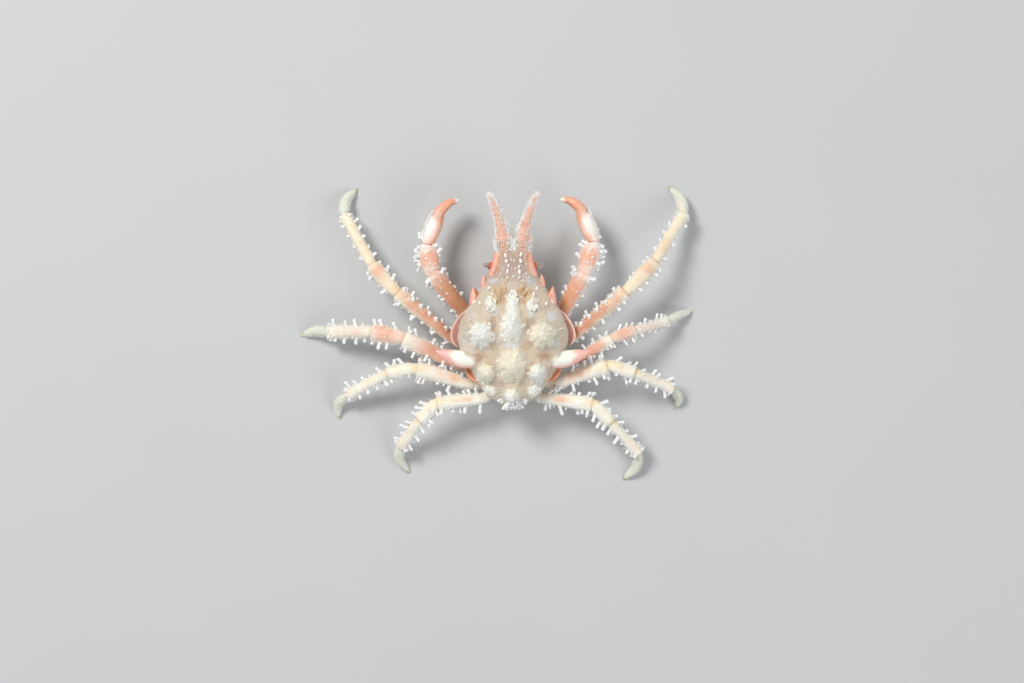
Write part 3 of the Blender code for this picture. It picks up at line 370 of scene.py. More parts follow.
# Tubercles of the limbs: bearing round the segment (0 front, 90 top, 180 back), where a row starts and ends,
# its length as a share of the limb's own and its spacing as a multiple of it
CLUB_RADIUS = {"claw": 0.38, "leg1": 0.33, "leg2": 0.34, "leg3": 0.33, "leg4": 0.34}
CLUB_SPACING = {"claw": 1.4, "leg1": 1.95, "leg2": 1.75, "leg3": 1.65, "leg4": 1.7}
CLUB_LENGTH = {"claw": 1.1, "leg1": 0.95, "leg2": 1.2, "leg3": 1.35, "leg4": 1.45}
CLUB_ROWS = {
    "merus": (
        (8, 0.52, 0.93, 1.0, 1.0), (172, 0.5, 0.93, 1.0, 0.9), (-25, 0.5, 0.9, 0.7, 1.7),
        (205, 0.46, 0.9, 0.8, 1.5),
    ),
    "carpus": ((12, 0.1, 0.85, 0.95, 1.0), (168, 0.12, 0.85, 0.95, 1.0), (210, 0.2, 0.8, 0.6, 1.6)),
    "propodus": (
        (10, 0.06, 0.9, 0.9, 1.0), (170, 0.06, 0.92, 0.9, 1.1), (-30, 0.1, 0.85, 0.5, 1.8),
        (212, 0.1, 0.85, 0.6, 1.6),
    ),
}
CLAW_ROWS = {
    "merus": ((172, 0.5, 0.96, 0.5, 1.0), (8, 0.6, 0.96, 0.6, 1.2), (215, 0.5, 0.95, 0.7, 1.2)),
    "carpus": (
        (182, 0.1, 0.9, 1.0, 0.7), (204, 0.05, 0.9, 1.05, 0.8), (160, 0.12, 0.85, 0.75, 1.2),
        (5, 0.35, 0.88, 1.0, 1.4),
    ),
    "palm": ((176, 0.04, 0.3, 0.75, 0.8), (196, 0.05, 0.38, 0.6, 0.9)),
}
LEG1_KNOBS = (48, 0.5, 0.93, 0.45)
CLAW_DOTS = (
    (1.76, 84, 1.0), (1.5, 104, 0.9), (1.3, 90, 0.85), (1.12, 112, 0.8), (0.9, 80, 0.6), (0.78, 104, 0.7),
    (0.95, 40, 1.1),
)
# Crowns of tubercles at the far end of a segment: place, bearings and length
CROWNS = {
    "merus": (0.95, (-22, 8, 34, 152, 178, 206), 0.75),
    "carpus": (0.93, (8, 172, 200), 0.6),
    "propodus": (0.93, (-45, -15, 12, 45, 135, 165, 195, 225), 0.34),
}

# Geometry helpers


def between(line, y):
    """The value at y on a line of (distance, value) pairs, smoothed by a cubic through its neighbours."""
    last = len(line) - 1
    if y <= line[0][0]:
        return line[0][1]
    if y >= line[last][0]:
        return line[last][1]
    i = max(k for k in range(last) if line[k][0] <= y)
    (y0, v0), (y1, v1) = line[i], line[i + 1]
    before, after = line[max(i - 1, 0)], line[min(i + 2, last)]
    slope0 = (v1 - before[1]) / (y1 - before[0])
    slope1 = (after[1] - v0) / (after[0] - y0)
    t = (y - y0) / (y1 - y0)
    span = y1 - y0
    return (
        v0 * (1 + 2 * t) * (1 - t) ** 2
        + slope0 * span * t * (1 - t) ** 2
        + v1 * t * t * (3 - 2 * t)
        + slope1 * span * t * t * (t - 1)
    )


def smooth_path(points, count):
    """count points evenly spaced in parameter along a smooth curve through the given points."""
    lines = [[(k, p[axis]) for k, p in enumerate(points)] for axis in range(3)]
    steps = [k * (len(points) - 1) / (count - 1) for k in range(count)]
    return [Vector([between(line, s) for line in lines]) for s in steps]


def bell(away):
    """A smooth bump that is 1 at 0 and falls to 0 at 1."""
    return np.where(np.abs(away) < 1, 0.5 + 0.5 * np.cos(np.pi * np.clip(away, -1, 1)), 0.0)


def grain(points, size, seed=0.0):
    """Smooth random values from -1 to 1 at the points, with lumps of about the given size."""
    shifted = np.asarray(points) / size + seed
    return np.array([noise.noise(p) for p in shifted.tolist()])


def cells(points, size, seed=0.0):
    """Small rounded lumps, 1 at the middle of each and 0 between them."""
    shifted = np.asarray(points) / size + seed
    return np.clip(1 - 1.5 * np.array([noise.voronoi(p)[0][0] for p in shifted.tolist()]), 0, 1)


def unit(vectors):
    return vectors / np.linalg.norm(vectors, axis=-1, keepdims=True)


class Course:
    """A smooth centre line with its sideways and upward directions, read at any parameter along it."""

    def __init__(self, stretches, rounding, start=None):
        points = []
        for k, stretch in enumerate(stretches):
            sampled = smooth_path(stretch, COURSE_STEPS + 1)
            points += sampled if k == 0 else sampled[1:]
        points = np.array(points)
        for _ in range(rounding):
            points[1:-1] = (points[:-2] + 2 * points[1:-1] + points[2:]) / 4
        ways = np.gradient(points, axis=0)
        if start is not None:
            ease = np.clip(1 - np.arange(len(points)) / 12, 0, 1)[:, None]
            ways = unit(ways) * (1 - ease) + np.array(start) * ease
        self.at = np.arange(len(points)) / COURSE_STEPS
        self.points = points
        self.ways = unit(ways)
        self.across = unit(np.cross((0, 0, 1), self.ways))
        self.above = np.cross(self.ways, self.across)

    def read(self, rows, t):
        return np.stack([np.interp(t, self.at, rows[:, axis]) for axis in range(3)], axis=-1)

    def ways_at(self, t):
        """The middle of the course and the ways sideways, up and along it, at parameters along it."""
        return [self.read(rows, t) for rows in (self.points, self.across, self.above, self.ways)]

    def bent(self, straight):
        """The points of a straight blank laid along the course."""
        middle, across, above, _ = self.ways_at(straight[:, 2] / TURN)
        return middle + across * straight[:, :1] + above * straight[:, 1:2]


def coords(mesh):
    flat = np.empty(len(mesh.vertices) * 3)
    mesh.vertices.foreach_get("co", flat)
    return flat.reshape(-1, 3)


def set_coords(mesh, points):
    mesh.vertices.foreach_set("co", np.asarray(points, dtype=np.float32).ravel())
    mesh.update()


def outward(mesh):
    flat = np.empty(len(mesh.vertices) * 3, dtype=np.float32)
    mesh.vertex_normals.foreach_get("vector", flat)
    return flat.reshape(-1, 3)


def mark(mesh, **values):
    """Stores named numbers on the vertices, for the materials to read."""
    for name, numbers in values.items():
        layer = mesh.attributes.new(name, "FLOAT", "POINT")
        layer.data.foreach_set("value", np.asarray(numbers, dtype=np.float32))


def mark_limb(mesh, **values):
    """The pigments of a limb's shell, none where none is given."""
    mark(mesh, **{name: values.get(name, np.zeros(len(mesh.vertices))) for name in LIMB_MARKS})


def patches(x, y, table):
    """How strong the soft patches of a table are at points of the shell, the same on both sides."""
    strongest = np.zeros(len(x))
    for middle, along, wide, long, strength in table:
        away = np.hypot((np.abs(x) - middle) / wide, (y - along) / long)
        strongest = np.maximum(strongest, strength * bell(away))
    return strongest


def mirrored(line, side):
    """The points of a line on the crab's right, or on its left for a side of -1."""
    return [Vector((x * side, y, z)) for x, y, z in line]


def signed_power(value, power):
    return math.copysign(abs(value) ** power, value)


def face_out(mesh):
    bm = bmesh.new()
    bm.from_mesh(mesh)
    bmesh.ops.recalc_face_normals(bm, faces=bm.faces)
    bm.to_mesh(mesh)
    bm.free()


def subdivide(piece, levels):
    bpy.ops.object.select_all(action="DESELECT")
    bpy.context.view_layer.objects.active = piece
    smoother = piece.modifiers.new("smoother", "SUBSURF")
    smoother.levels = smoother.render_levels = levels
    bpy.ops.object.modifier_apply(modifier=smoother.name)


def blank(name, rings, sides, levels=2):
    """A straight closed tube along Z, drawn up from a disc. A ring is a height, half width and half depth."""
    bpy.ops.object.select_all(action="DESELECT")
    bpy.ops.mesh.primitive_circle_add(vertices=sides, radius=1.0, fill_type="NGON", location=(0, 0, 0))
    made = bpy.context.object
    made.name = made.data.name = name
    height, wide, deep = rings[0]
    bpy.ops.object.mode_set(mode="EDIT")
    bpy.ops.mesh.select_all(action="SELECT")
    bpy.ops.transform.resize(value=(wide, deep, 1))
    bpy.ops.transform.translate(value=(0, 0, height))
    for before, after in zip(rings, rings[1:]):
        step = {"value": (0, 0, after[0] - before[0]), "orient_type": "GLOBAL"}
        bpy.ops.mesh.extrude_region_move(TRANSFORM_OT_translate=step)
        stretch = (after[1] / before[1], after[2] / before[2], 1)
        bpy.ops.transform.resize(value=stretch, center_override=(0, 0, after[0]))
    bpy.ops.object.mode_set(mode="OBJECT")
    if levels:
        subdivide(made, levels)
    return made


def bar_rings(wide, deep, count, first, last):
    """Rings of a blank with half widths and half depths given at even steps, narrowed at its two ends."""
    rings = []
    for k in range(count):
        s = k / (count - 1) * (len(wide) - 1)
        ends = {0: first, count - 1: last}.get(k, 1.0)
        sizes = [between(list(enumerate(values)), s) * ends for values in (wide, deep)]
        rings.append((k / (count - 1) * TURN, *sizes))
    return rings


def ring_width(rings, t):
    """The half width of a blank at parameters along it."""
    return np.interp(t, [ring[0] / TURN for ring in rings], [ring[1] for ring in rings])


def mesh_piece(name, points, faces):
    mesh = bpy.data.meshes.new(name)
    mesh.from_pydata(np.asarray(points).tolist(), [], faces)
    made = bpy.data.objects.new(name, mesh)
    bpy.context.scene.collection.objects.link(made)
    return made


def loft(name, rings):
    """A closed skin over rings that all have the same number of points."""
    rings = np.asarray(rings)
    count, around = rings.shape[:2]
    points = np.concatenate([rings.reshape(-1, 3), rings[:1].mean(axis=1), rings[-1:].mean(axis=1)])
    faces = []
    for k in range(count - 1):
        for j in range(around):
            n = (j + 1) % around
            faces.append((k * around + j, k * around + n, (k + 1) * around + n, (k + 1) * around + j))
    for ring, middle in ((0, count * around), (count - 1, count * around + 1)):
        faces += [(ring * around + j, ring * around + (j + 1) % around, middle) for j in range(around)]
    made = mesh_piece(name, points, faces)
    face_out(made.data)
    return made


def finish_piece(piece, look, nodes=(), keep_faces=False):
    """Gives a modelled piece its material and its place on the body, in metres."""
    mesh = piece.data
    if not keep_faces:
        face_out(mesh)
    set_coords(mesh, coords(mesh) * MM + PLACE)
    mesh.shade_smooth()
    mesh.materials.clear()
    mesh.materials.append(look)
    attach(piece, "root")
    if nodes:
        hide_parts(*nodes)


# Materials


def tint(red, green, blue):
    """A colour given as it looks on screen, from 0 to 255, as the linear numbers a shader takes."""
    parts = [c / 255 for c in (red, green, blue)]
    return tuple(c / 12.92 if c <= 0.04045 else ((c + 0.055) / 1.055) ** 2.4 for c in parts) + (1.0,)


class Wire:
    """A shader socket that sums, differences and products can be written with."""

    def __init__(self, finish, socket):
        self.finish = finish
        self.socket = socket

    def math(self, operation, first, second):
        return self.finish.node("ShaderNodeMath", {"operation": operation}, {0: first, 1: second})

    def __add__(self, other):
        return self.math("ADD", self, other)

    __radd__ = __add__

    def __sub__(self, other):
        return self.math("SUBTRACT", self, other)

    def __rsub__(self, other):
        return self.math("SUBTRACT", other, self)

    def __mul__(self, other):
        return self.math("MULTIPLY", self, other)

    __rmul__ = __mul__


class Finish:
    """A material built from nodes around one Principled shader."""

    def __init__(self, name, **constants):
        self.material = bpy.data.materials.new(name)
        self.material.use_nodes = True
        self.tree = self.material.node_tree
        self.shader = self.tree.nodes["Principled BSDF"]
        for socket, value in constants.items():
            self.shader.inputs[socket.replace("_", " ")].default_value = value

    def feed(self, socket, value):
        if isinstance(value, Wire):
            self.tree.links.new(value.socket, socket)
        else:
            socket.default_value = value

    def node(self, kind, settings=None, inputs=None, output=0):
        """Adds a node, with its settings made before its sockets are filled, and gives one of its outputs."""
        made = self.tree.nodes.new(kind)
        for name, value in (settings or {}).items():
            setattr(made, name, value)
        for name, value in (inputs or {}).items():
            self.feed(made.inputs[name], value)
        return Wire(self, made.outputs[output])

    def object_place(self):
        return self.node("ShaderNodeTexCoord", output="Object")

    def noise(self, size, detail=3.0, roughness=0.55, stretch=None):
        """Cloudy noise from 0 to 1 with lumps of a size in millimetres."""
        place = self.object_place()
        if stretch:
            place = self.node("ShaderNodeMapping", {}, {"Vector": place, "Scale": stretch})
        values = {"Vector": place, "Scale": 1 / (size * MM), "Detail": detail, "Roughness": roughness}
        return self.node("ShaderNodeTexNoise", {}, values)

    def lumps(self, size):
        """Rounded cells of a size in millimetres, 0 at the middle of each."""
        values = {"Vector": self.object_place(), "Scale": 1 / (size * MM)}
        return self.node("ShaderNodeTexVoronoi", {}, values)

    def steps(self, value, low, high):
        """0 below low, 1 above high, smooth between."""
        settings = {"interpolation_type": "SMOOTHSTEP"}
        return self.node("ShaderNodeMapRange", settings, {0: value, 1: low, 2: high, 3: 0.0, 4: 1.0})

    def marked(self, name):
        return self.node("ShaderNodeAttribute", {"attribute_name": name}, output="Fac")

    def area(self, name, cloud, ragged, low, high):
        """Where a mark is found, with an edge that a noise makes ragged."""
        return self.steps(self.marked(name) + (cloud - 0.5) * ragged, low, high)

    def dots(self, grains, low, high):
        """The middles of rounded cells."""
        return 1 - self.steps(grains, low, high)

    def blend(self, first, second, factor):
        settings = {"data_type": "RGBA", "clamp_factor": True}
        return self.node("ShaderNodeMix", settings, {0: factor, 6: first, 7: second}, output=2)

    def bump(self, height, distance):
        return self.node("ShaderNodeBump", {}, {"Height": height, "Distance": distance * MM, "Strength": 1.0})

    def paint(self, **sockets):
        for name, value in sockets.items():
            self.feed(self.shader.inputs[name.replace("_", " ")], value)
        return self.material


SOFT_FLESH = {
    "Subsurface_Weight": 0.3,
    "Subsurface_Radius": (1.0, 0.75, 0.65),
    "Subsurface_Scale": 0.45 * MM,
}


def make_carapace_skin():
    """Velvety beige shell, browner in its valleys, with painted shade in those hollows and in the pits, cream
    on its knobs, with a white frost of grains, and bluer frost patches on the right that are partly painted
    cool light.
    """
    f = Finish("velvety_shell", Sheen_Weight=0.25, Sheen_Roughness=0.5, **SOFT_FLESH)
    broad, middling, fine = f.noise(3.5), f.noise(1.1), f.noise(0.32, 4.0)
    sand, valley, cream = tint(213, 195, 169), tint(174, 138, 106), tint(254, 249, 232)
    rose, frost, peach = tint(180, 147, 134), tint(218, 225, 230), tint(232, 172, 146)
    # valley mark: brown pigment, with painted shade in the hollows between the bosses, in the orbits and in
    # the antennule pits
    colour = f.blend(sand, valley, f.area("valley", middling, 0.4, 0.05, 1.05))
    colour = f.blend(colour, rose, f.area("rose", middling, 0.5, 0.2, 1.0))
    colour = f.blend(colour, tint(198, 158, 110), f.area("gold", fine, 0.6, 0.05, 0.8))
    colour = f.blend(colour, tint(176, 166, 168), f.area("dusk", fine, 0.6, 0.1, 1.0) * 0.8)
    colour = f.blend(colour, frost, f.area("frost", fine, 1.0, 0.2, 0.9) * 0.75)
    cream = f.blend(cream, tint(252, 240, 206), f.area("straw", middling, 0.4, 0.1, 0.6))
    colour = f.blend(colour, cream, f.area("crest", middling, 0.3, 0.0, 0.5))
    colour = f.blend(colour, frost, f.steps(fine + (broad - 0.5) * 0.5, 0.5, 0.75) * 0.5)
    grains = f.lumps(0.22)
    colour = f.blend(colour, frost, f.dots(grains, 0.08, 0.3) * 0.35)
    front = f.marked("peach") + f.marked("horn") * 0.9
    colour = f.blend(colour, peach, f.steps(front + (middling - 0.5) * 0.5, 0.25, 1.0))
    height = fine * 0.5 + (1 - grains) * 0.6
    return f.paint(Base_Color=colour, Roughness=0.5 + 0.22 * fine, Normal=f.bump(height, 0.06))


def make_plate_shell(name, deep, light, rim):
    """Smooth glossy shell of a plate, with a rim of its own colour and a painted white highlight on the
    hepatic lobes.
    """
    f = Finish(name, Coat_Weight=0.2, Coat_Roughness=0.2, **SOFT_FLESH)
    clouds, fine = f.noise(1.4), f.noise(0.25)
    outer = f.marked("reach") + (clouds - 0.5) * 0.8 + (fine - 0.5) * 0.2
    colour = f.blend(deep, light, f.steps(outer, 0.2, 0.75))
    colour = f.blend(colour, rim, f.area("rim", fine, 0.15, 0.4, 0.9))
    # painted highlight: a white spot on each hepatic lobe
    colour = f.blend(colour, tint(252, 242, 232), f.area("gloss", clouds, 0.3, 0.45, 0.9))
    colour = f.blend(colour, tint(203, 172, 151), f.area("root", fine, 0.8, 0.25, 0.85))
    return f.paint(Base_Color=colour, Roughness=0.3 + 0.15 * fine, Normal=f.bump(fine, 0.025))


def make_lateral_horn():
    """A horn that is cream along its crest and rose at its tip and its hind edge."""
    f = Finish("cream_and_rose_horn", Coat_Weight=0.2, Coat_Roughness=0.25, **SOFT_FLESH)
    clouds, fine = f.noise(1.4), f.noise(0.28)
    sand, cream = tint(230, 217, 196), tint(253, 251, 238)
    rose, pale = tint(252, 192, 182), tint(255, 218, 212)
    colour = f.blend(cream, rose, f.area("rose", clouds, 0.5, 0.1, 0.95))
    colour = f.blend(colour, pale, f.steps(f.marked("rim"), 0.75, 1.0) * 0.7)
    colour = f.blend(colour, sand, f.area("root", fine, 0.5, 0.2, 0.9))
    return f.paint(Base_Color=colour, Roughness=0.36 + 0.15 * fine, Normal=f.bump(fine, 0.03))


def make_rostral_skin():
    """Orange rose shell covered in fine pale grains, whitening to the tip."""
    f = Finish("rostral_shell", **SOFT_FLESH)
    clouds, fine, grains = f.noise(1.1), f.noise(0.28), f.lumps(0.24)
    rose, orange, frost = tint(228, 189, 173), tint(224, 161, 134), tint(248, 242, 240)
    colour = f.blend(rose, orange, f.steps(clouds, 0.35, 0.7))
    white = f.marked("pale") + (fine - 0.5) * 0.6
    colour = f.blend(colour, frost, f.steps(white, 0.2, 0.95))
    colour = f.blend(colour, frost, f.dots(grains, 0.12, 0.3) * 0.45)
    return f.paint(
        Base_Color=colour,
        Roughness=0.4 + 0.2 * fine,
        Normal=f.bump((1 - grains) + fine * 0.4, 0.06),
    )


def make_limb_skin(name, cream, rose, brown, grain_white=0.3, gloss=0.38):
    """Shell of a limb: rose patches over cream, browner by the body, with pale collars and white grains."""
    f = Finish(name, Coat_Weight=0.15, Coat_Roughness=0.25, **SOFT_FLESH)
    clouds, fine, grains = f.noise(1.6), f.noise(0.3, 4.0), f.lumps(0.28)
    white, gold = tint(255, 253, 248), tint(246, 216, 160)
    colour = f.blend(cream, gold, f.area("gold", clouds, 0.9, 0.2, 1.0) * 0.85)
    flush = f.marked("rose") + (clouds - 0.5) * 0.6 + (fine - 0.5) * 0.2
    colour = f.blend(colour, rose, f.steps(flush, 0.15, 1.0))
    colour = f.blend(colour, brown, f.area("brown", clouds, 0.4, 0.1, 1.0))
    pale = f.marked("pale") + (fine + clouds - 1) * 0.7
    colour = f.blend(colour, white, f.steps(pale, 0.2, 0.95))
    colour = f.blend(colour, white, f.dots(grains, 0.08, 0.28) * grain_white)
    colour = f.blend(colour, brown, f.marked("groove") * 0.45)
    return f.paint(
        Base_Color=colour,
        Roughness=gloss + 0.2 * fine,
        Normal=f.bump((1 - grains) * 0.6 + fine * 0.6, 0.06),
    )


def make_tip_shell():
    """Pale grey green grainy shell of a walking claw."""
    f = Finish("grainy_tip_shell", **SOFT_FLESH)
    clouds, fine, grains = f.noise(1.0), f.noise(0.22), f.lumps(0.2)
    grey, straw, white = tint(221, 228, 214), tint(238, 234, 210), tint(255, 255, 252)
    colour = f.blend(grey, straw, f.steps(clouds, 0.4, 0.7))
    colour = f.blend(colour, white, f.dots(grains, 0.1, 0.4) * 0.5)
    return f.paint(
        Base_Color=colour,
        Roughness=0.34 + 0.2 * fine,
        Normal=f.bump((1 - grains) + fine * 0.4, 0.05),
    )


def make_horn():
    """Amber horn of the sharp tips."""
    f = Finish("amber_horn", Coat_Weight=0.4, Coat_Roughness=0.15)
    streaks = f.noise(0.5, stretch=(1, 1, 0.3))
    colour = f.blend(tint(238, 222, 156), tint(208, 172, 100), f.steps(streaks, 0.35, 0.7))
    return f.paint(Base_Color=colour, Roughness=0.22 + 0.12 * streaks)


def make_tubercle():
    """Milky bluish white of the club-shaped tubercles, with clearer cores."""
    f = Finish(
        "milky_tubercle",
        Subsurface_Weight=0.7,
        Subsurface_Radius=(0.8, 0.9, 1.0),
        Subsurface_Scale=0.5 * MM,
        Coat_Weight=0.4,
        Coat_Roughness=0.1,
        Sheen_Weight=0.6,
        Sheen_Roughness=0.25,
    )
    fine = f.noise(0.3)
    root, core, tip = tint(250, 242, 230), tint(228, 234, 240), tint(255, 255, 255)
    colour = f.blend(core, tip, f.steps(fine, 0.3, 0.7) * 0.6)
    colour = f.blend(root, colour, f.steps(f.marked("height"), 0.0, 0.4))
    colour = f.blend(colour, tip, f.area("height", fine, 0.3, 0.7, 1.0))
    return f.paint(Base_Color=colour, Roughness=0.2 + 0.12 * fine)


def make_grain_white(name, root, crown, gloss=0.25):
    """Pale grains and scales."""
    f = Finish(name, Coat_Weight=0.4 - gloss * 0.6, Coat_Roughness=0.15, **SOFT_FLESH)
    fine = f.noise(0.3)
    colour = f.blend(root, crown, f.steps(f.marked("height") + (f.marked("tone") - 0.5) * 0.5, 0.1, 0.8))
    return f.paint(Base_Color=colour, Roughness=gloss + 0.15 * fine)


def make_seta(name, root, tip):
    """Fine translucent bristle."""
    f = Finish(name, Subsurface_Weight=0.3, Subsurface_Scale=0.2 * MM, Coat_Roughness=0.2)
    colour = f.blend(root, tip, f.steps(f.marked("height") + (f.marked("tone") - 0.5) * 0.6, 0.1, 0.9))
    return f.paint(Base_Color=colour, Roughness=0.35 + 0.1 * f.noise(0.5))


def make_eye_stalk():
    f = Finish("eye_stalk", Coat_Weight=0.3, Coat_Roughness=0.2, **SOFT_FLESH)
    clouds = f.noise(0.5)
    colour = f.blend(tint(192, 96, 40), tint(222, 136, 78), f.steps(clouds, 0.35, 0.7))
    return f.paint(Base_Color=colour, Roughness=0.3 + 0.15 * clouds, Normal=f.bump(clouds, 0.02))


def make_cornea():
    """Clear glassy eye with fine facets, paler round its rim as a painted reflection."""
    f = Finish("cornea", Coat_Weight=1.0, Coat_Roughness=0.03, Transmission_Weight=0.8, IOR=1.2)
    facets, spots = f.lumps(0.05), f.noise(0.5)
    # painted reflection: the cornea is paler towards its rim
    depth = f.area("rim", spots, 0.3, 0.35, 1.0)
    colour = f.blend(tint(240, 226, 216), tint(252, 248, 248), depth)
    return f.paint(Base_Color=colour, Roughness=0.05 + 0.05 * facets, Normal=f.bump(facets, 0.003))


def make_retina():
    """Dark brown core seen through the clear eye."""
    f = Finish("eye_core", Coat_Weight=0.6, Coat_Roughness=0.1)
    clouds = f.noise(0.3)
    colour = f.blend(tint(58, 34, 26), tint(132, 80, 52), f.steps(clouds, 0.4, 0.75))
    return f.paint(Base_Color=colour, Roughness=0.3 + 0.2 * clouds)


def make_underside():
    """Smooth cream shell of the underside, pinker along its grooves."""
    f = Finish("underside_shell", **SOFT_FLESH)
    clouds, fine, grains = f.noise(2.2), f.noise(0.4), f.lumps(0.35)
    cream, rose, white = tint(238, 216, 192), tint(224, 170, 146), tint(250, 242, 230)
    colour = f.blend(cream, rose, f.area("groove", clouds, 0.6, 0.25, 0.9))
    colour = f.blend(colour, white, f.dots(grains, 0.08, 0.25) * 0.3)
    return f.paint(
        Base_Color=colour,
        Roughness=0.4 + 0.2 * fine,
        Normal=f.bump((1 - grains) * 0.5 + fine * 0.5, 0.05),
    )


def make_floor():
    f = Finish("pale_floor")
    cloud = f.noise(40.0)
    colour = f.blend(tint(196, 198, 200), tint(201, 203, 204), cloud)
    return f.paint(Base_Color=colour, Roughness=0.75 + 0.1 * cloud)


LOOKS = {
    "carapace": make_carapace_skin(),
    # The branchial plates take darker tints than their own rose, as painted shade where they sit low under
    # the overhanging edge of the shell
    "branchial_plate": make_plate_shell(
        "dusky_rose_plate_in_painted_shade", tint(166, 109, 91), tint(189, 133, 115), tint(246, 204, 192),
    ),
    "hind_plate": make_plate_shell(
        "orange_plate", tint(192, 108, 58), tint(208, 130, 78), tint(246, 172, 150),
    ),
    "front_plate": make_plate_shell(
        "peach_plate", tint(194, 118, 76), tint(248, 198, 176), tint(242, 154, 148),
    ),
    "horn": make_lateral_horn(),
    "rostral": make_rostral_skin(),
    "claw": make_limb_skin(
        "claw_shell", tint(250, 235, 227), tint(240, 174, 142), tint(204, 148, 110), 0.15, 0.26,
    ),
    "leg1": make_limb_skin("first_leg_shell", tint(245, 235, 212), tint(231, 168, 136), tint(190, 118, 84)),
    "leg2": make_limb_skin(
        "second_leg_shell", tint(246, 237, 224), tint(234, 174, 147), tint(208, 156, 124), 0.5,
    ),
    "leg3": make_limb_skin("third_leg_shell", tint(249, 245, 233), tint(242, 180, 148), tint(218, 182, 146)),
    "leg4": make_limb_skin("fourth_leg_shell", tint(250, 248, 238), tint(242, 176, 144), tint(220, 190, 148)),
    "tip_shell": make_tip_shell(),
    "amber": make_horn(),
    "tubercle": make_tubercle(),
    "cream_scale": make_grain_white("cream_scale", tint(255, 252, 240), tint(255, 255, 252), 0.5),
    "straw_scale": make_grain_white("straw_scale", tint(252, 240, 206), tint(255, 248, 224), 0.5),
    "white_grain": make_grain_white("white_grain", tint(244, 236, 228), tint(255, 255, 255)),
    "frost": make_grain_white("frost_grain", tint(216, 200, 180), tint(244, 246, 248)),
    "yellow_seta": make_seta("yellow_seta", tint(224, 196, 144), tint(253, 242, 208)),
    "cream_seta": make_seta("cream_velvet", tint(254, 250, 236), tint(255, 254, 246)),
    "pile": make_seta("pale_pile", tint(206, 186, 164), tint(246, 244, 240)),
    "eye_stalk": make_eye_stalk(),
    "cornea": make_cornea(),
    "eye_core": make_retina(),
    "underside": make_underside(),
    "floor": make_floor(),
}

# Patterns that are repeated


def pattern(rings, sides):
    """The points, faces and patch places of a small form drawn up from a disc, as (points, faces, patch)."""
    made = blank("pattern", rings, sides, levels=0)
    points = coords(made.data)
    faces = [tuple(face.vertices) for face in made.data.polygons]
    faces = [face for face in faces if len(face) < sides or points[face[0]][2] > rings[0][0]]
    turn = np.arctan2(points[:, 1], points[:, 0]) / (2 * np.pi) + 0.5
    patch = np.stack([turn, np.clip(points[:, 2], 0, 1)], axis=-1)
    bpy.data.objects.remove(made)
    return points, faces, patch


CLUB = pattern(
    (
        (-0.3, 1.35, 1.35), (0.03, 1.15, 1.15), (0.16, 0.94, 0.94), (0.42, 0.82, 0.82), (0.66, 0.95, 0.95),
        (0.84, 0.97, 0.97), (0.95, 0.68, 0.68), (1.0, 0.22, 0.22),
    ),
    7,
)
GRAIN = pattern(((-0.4, 1.0, 1.0), (0.15, 1.05, 1.05), (0.62, 0.85, 0.85), (0.95, 0.35, 0.35)), 6)
SPECK = pattern(((-0.3, 1.0, 1.0), (0.45, 0.9, 0.9), (0.95, 0.35, 0.35)), 5)
SCALE = pattern(
    ((-0.25, 1.0, 0.9), (0.2, 1.02, 0.92), (0.55, 0.88, 0.78), (0.84, 0.6, 0.52), (1.0, 0.22, 0.2)), 7,
)
SPINULE = pattern(
    ((-0.3, 1.25, 1.25), (0.1, 1.0, 1.0), (0.55, 0.72, 0.72), (0.9, 0.45, 0.45), (1.0, 0.15, 0.15)), 5,
)
SETA = pattern(
    (
        (-0.1, 1.0, 1.0), (0.2, 1.0, 1.0), (0.4, 0.9, 0.9), (0.6, 0.75, 0.75), (0.8, 0.55, 0.55),
        (1.0, 0.15, 0.15),
    ),
    4,
)
HAIR = pattern(((-0.1, 1.0, 1.0), (0.5, 0.8, 0.8), (1.0, 0.15, 0.15)), 3)


class Root:
    """Where one copy of a pattern grows: its foot, the way it stands, its size, its bend and its patch."""

    def __init__(self, foot, way, length, radius, patch, bend=(0.0, 0.0, 0.0)):
        self.foot = np.array(foot, dtype=float)
        self.way = np.array(way, dtype=float) / np.linalg.norm(way)
        self.length = length
        self.radius = radius
        self.patch = patch
        self.bend = np.array(bend, dtype=float)


def grow(name, form, roots, look, rng):
    """One joined mesh of copies of a form, one on each root."""
    roots = list(roots)  # all of them are drawn before the first tone
    points, faces, patch = form
    made_points, made_faces, heights, tones, places = [], [], [], [], []
    rise = np.clip(points[:, 2], 0, 1)
    for k, root in enumerate(roots):
        helper = (0, 0, 1) if abs(root.way[2]) < 0.9 else (0, 1, 0)
        side = unit(np.cross(helper, root.way))
        other = np.cross(root.way, side)
        copy = root.foot + side * points[:, :1] * root.radius + other * points[:, 1:2] * root.radius
        copy = copy + root.way * points[:, 2:] * root.length + root.bend * (rise ** 2)[:, None] * root.length
        made_points.append(copy)
        offset = k * len(points)
        made_faces += [tuple(v + offset for v in face) for face in faces]
        heights.append(rise)
        tones.append(np.full(len(points), rng.random()))
        places.append(np.array(root.patch) + (patch - 0.5) * TUFT_PATCH)
    piece = mesh_piece(name, np.concatenate(made_points), made_faces)
    mesh = piece.data
    mark(mesh, height=np.concatenate(heights), tone=np.concatenate(tones))
    corner = np.empty(len(mesh.loops), dtype=np.int32)
    mesh.loops.foreach_get("vertex_index", corner)
    layer = mesh.uv_layers.new(name="OFBake")
    layer.data.foreach_set("uv", np.concatenate(places)[corner].astype(np.float32).ravel())
    finish_piece(piece, look, keep_faces=True)


def search_tree(piece):
    """A search tree of a piece that is still in millimetres."""
    bm = bmesh.new()
    bm.from_mesh(piece.data)
    tree = BVHTree.FromBMesh(bm)
    bm.free()
    return tree


# Body


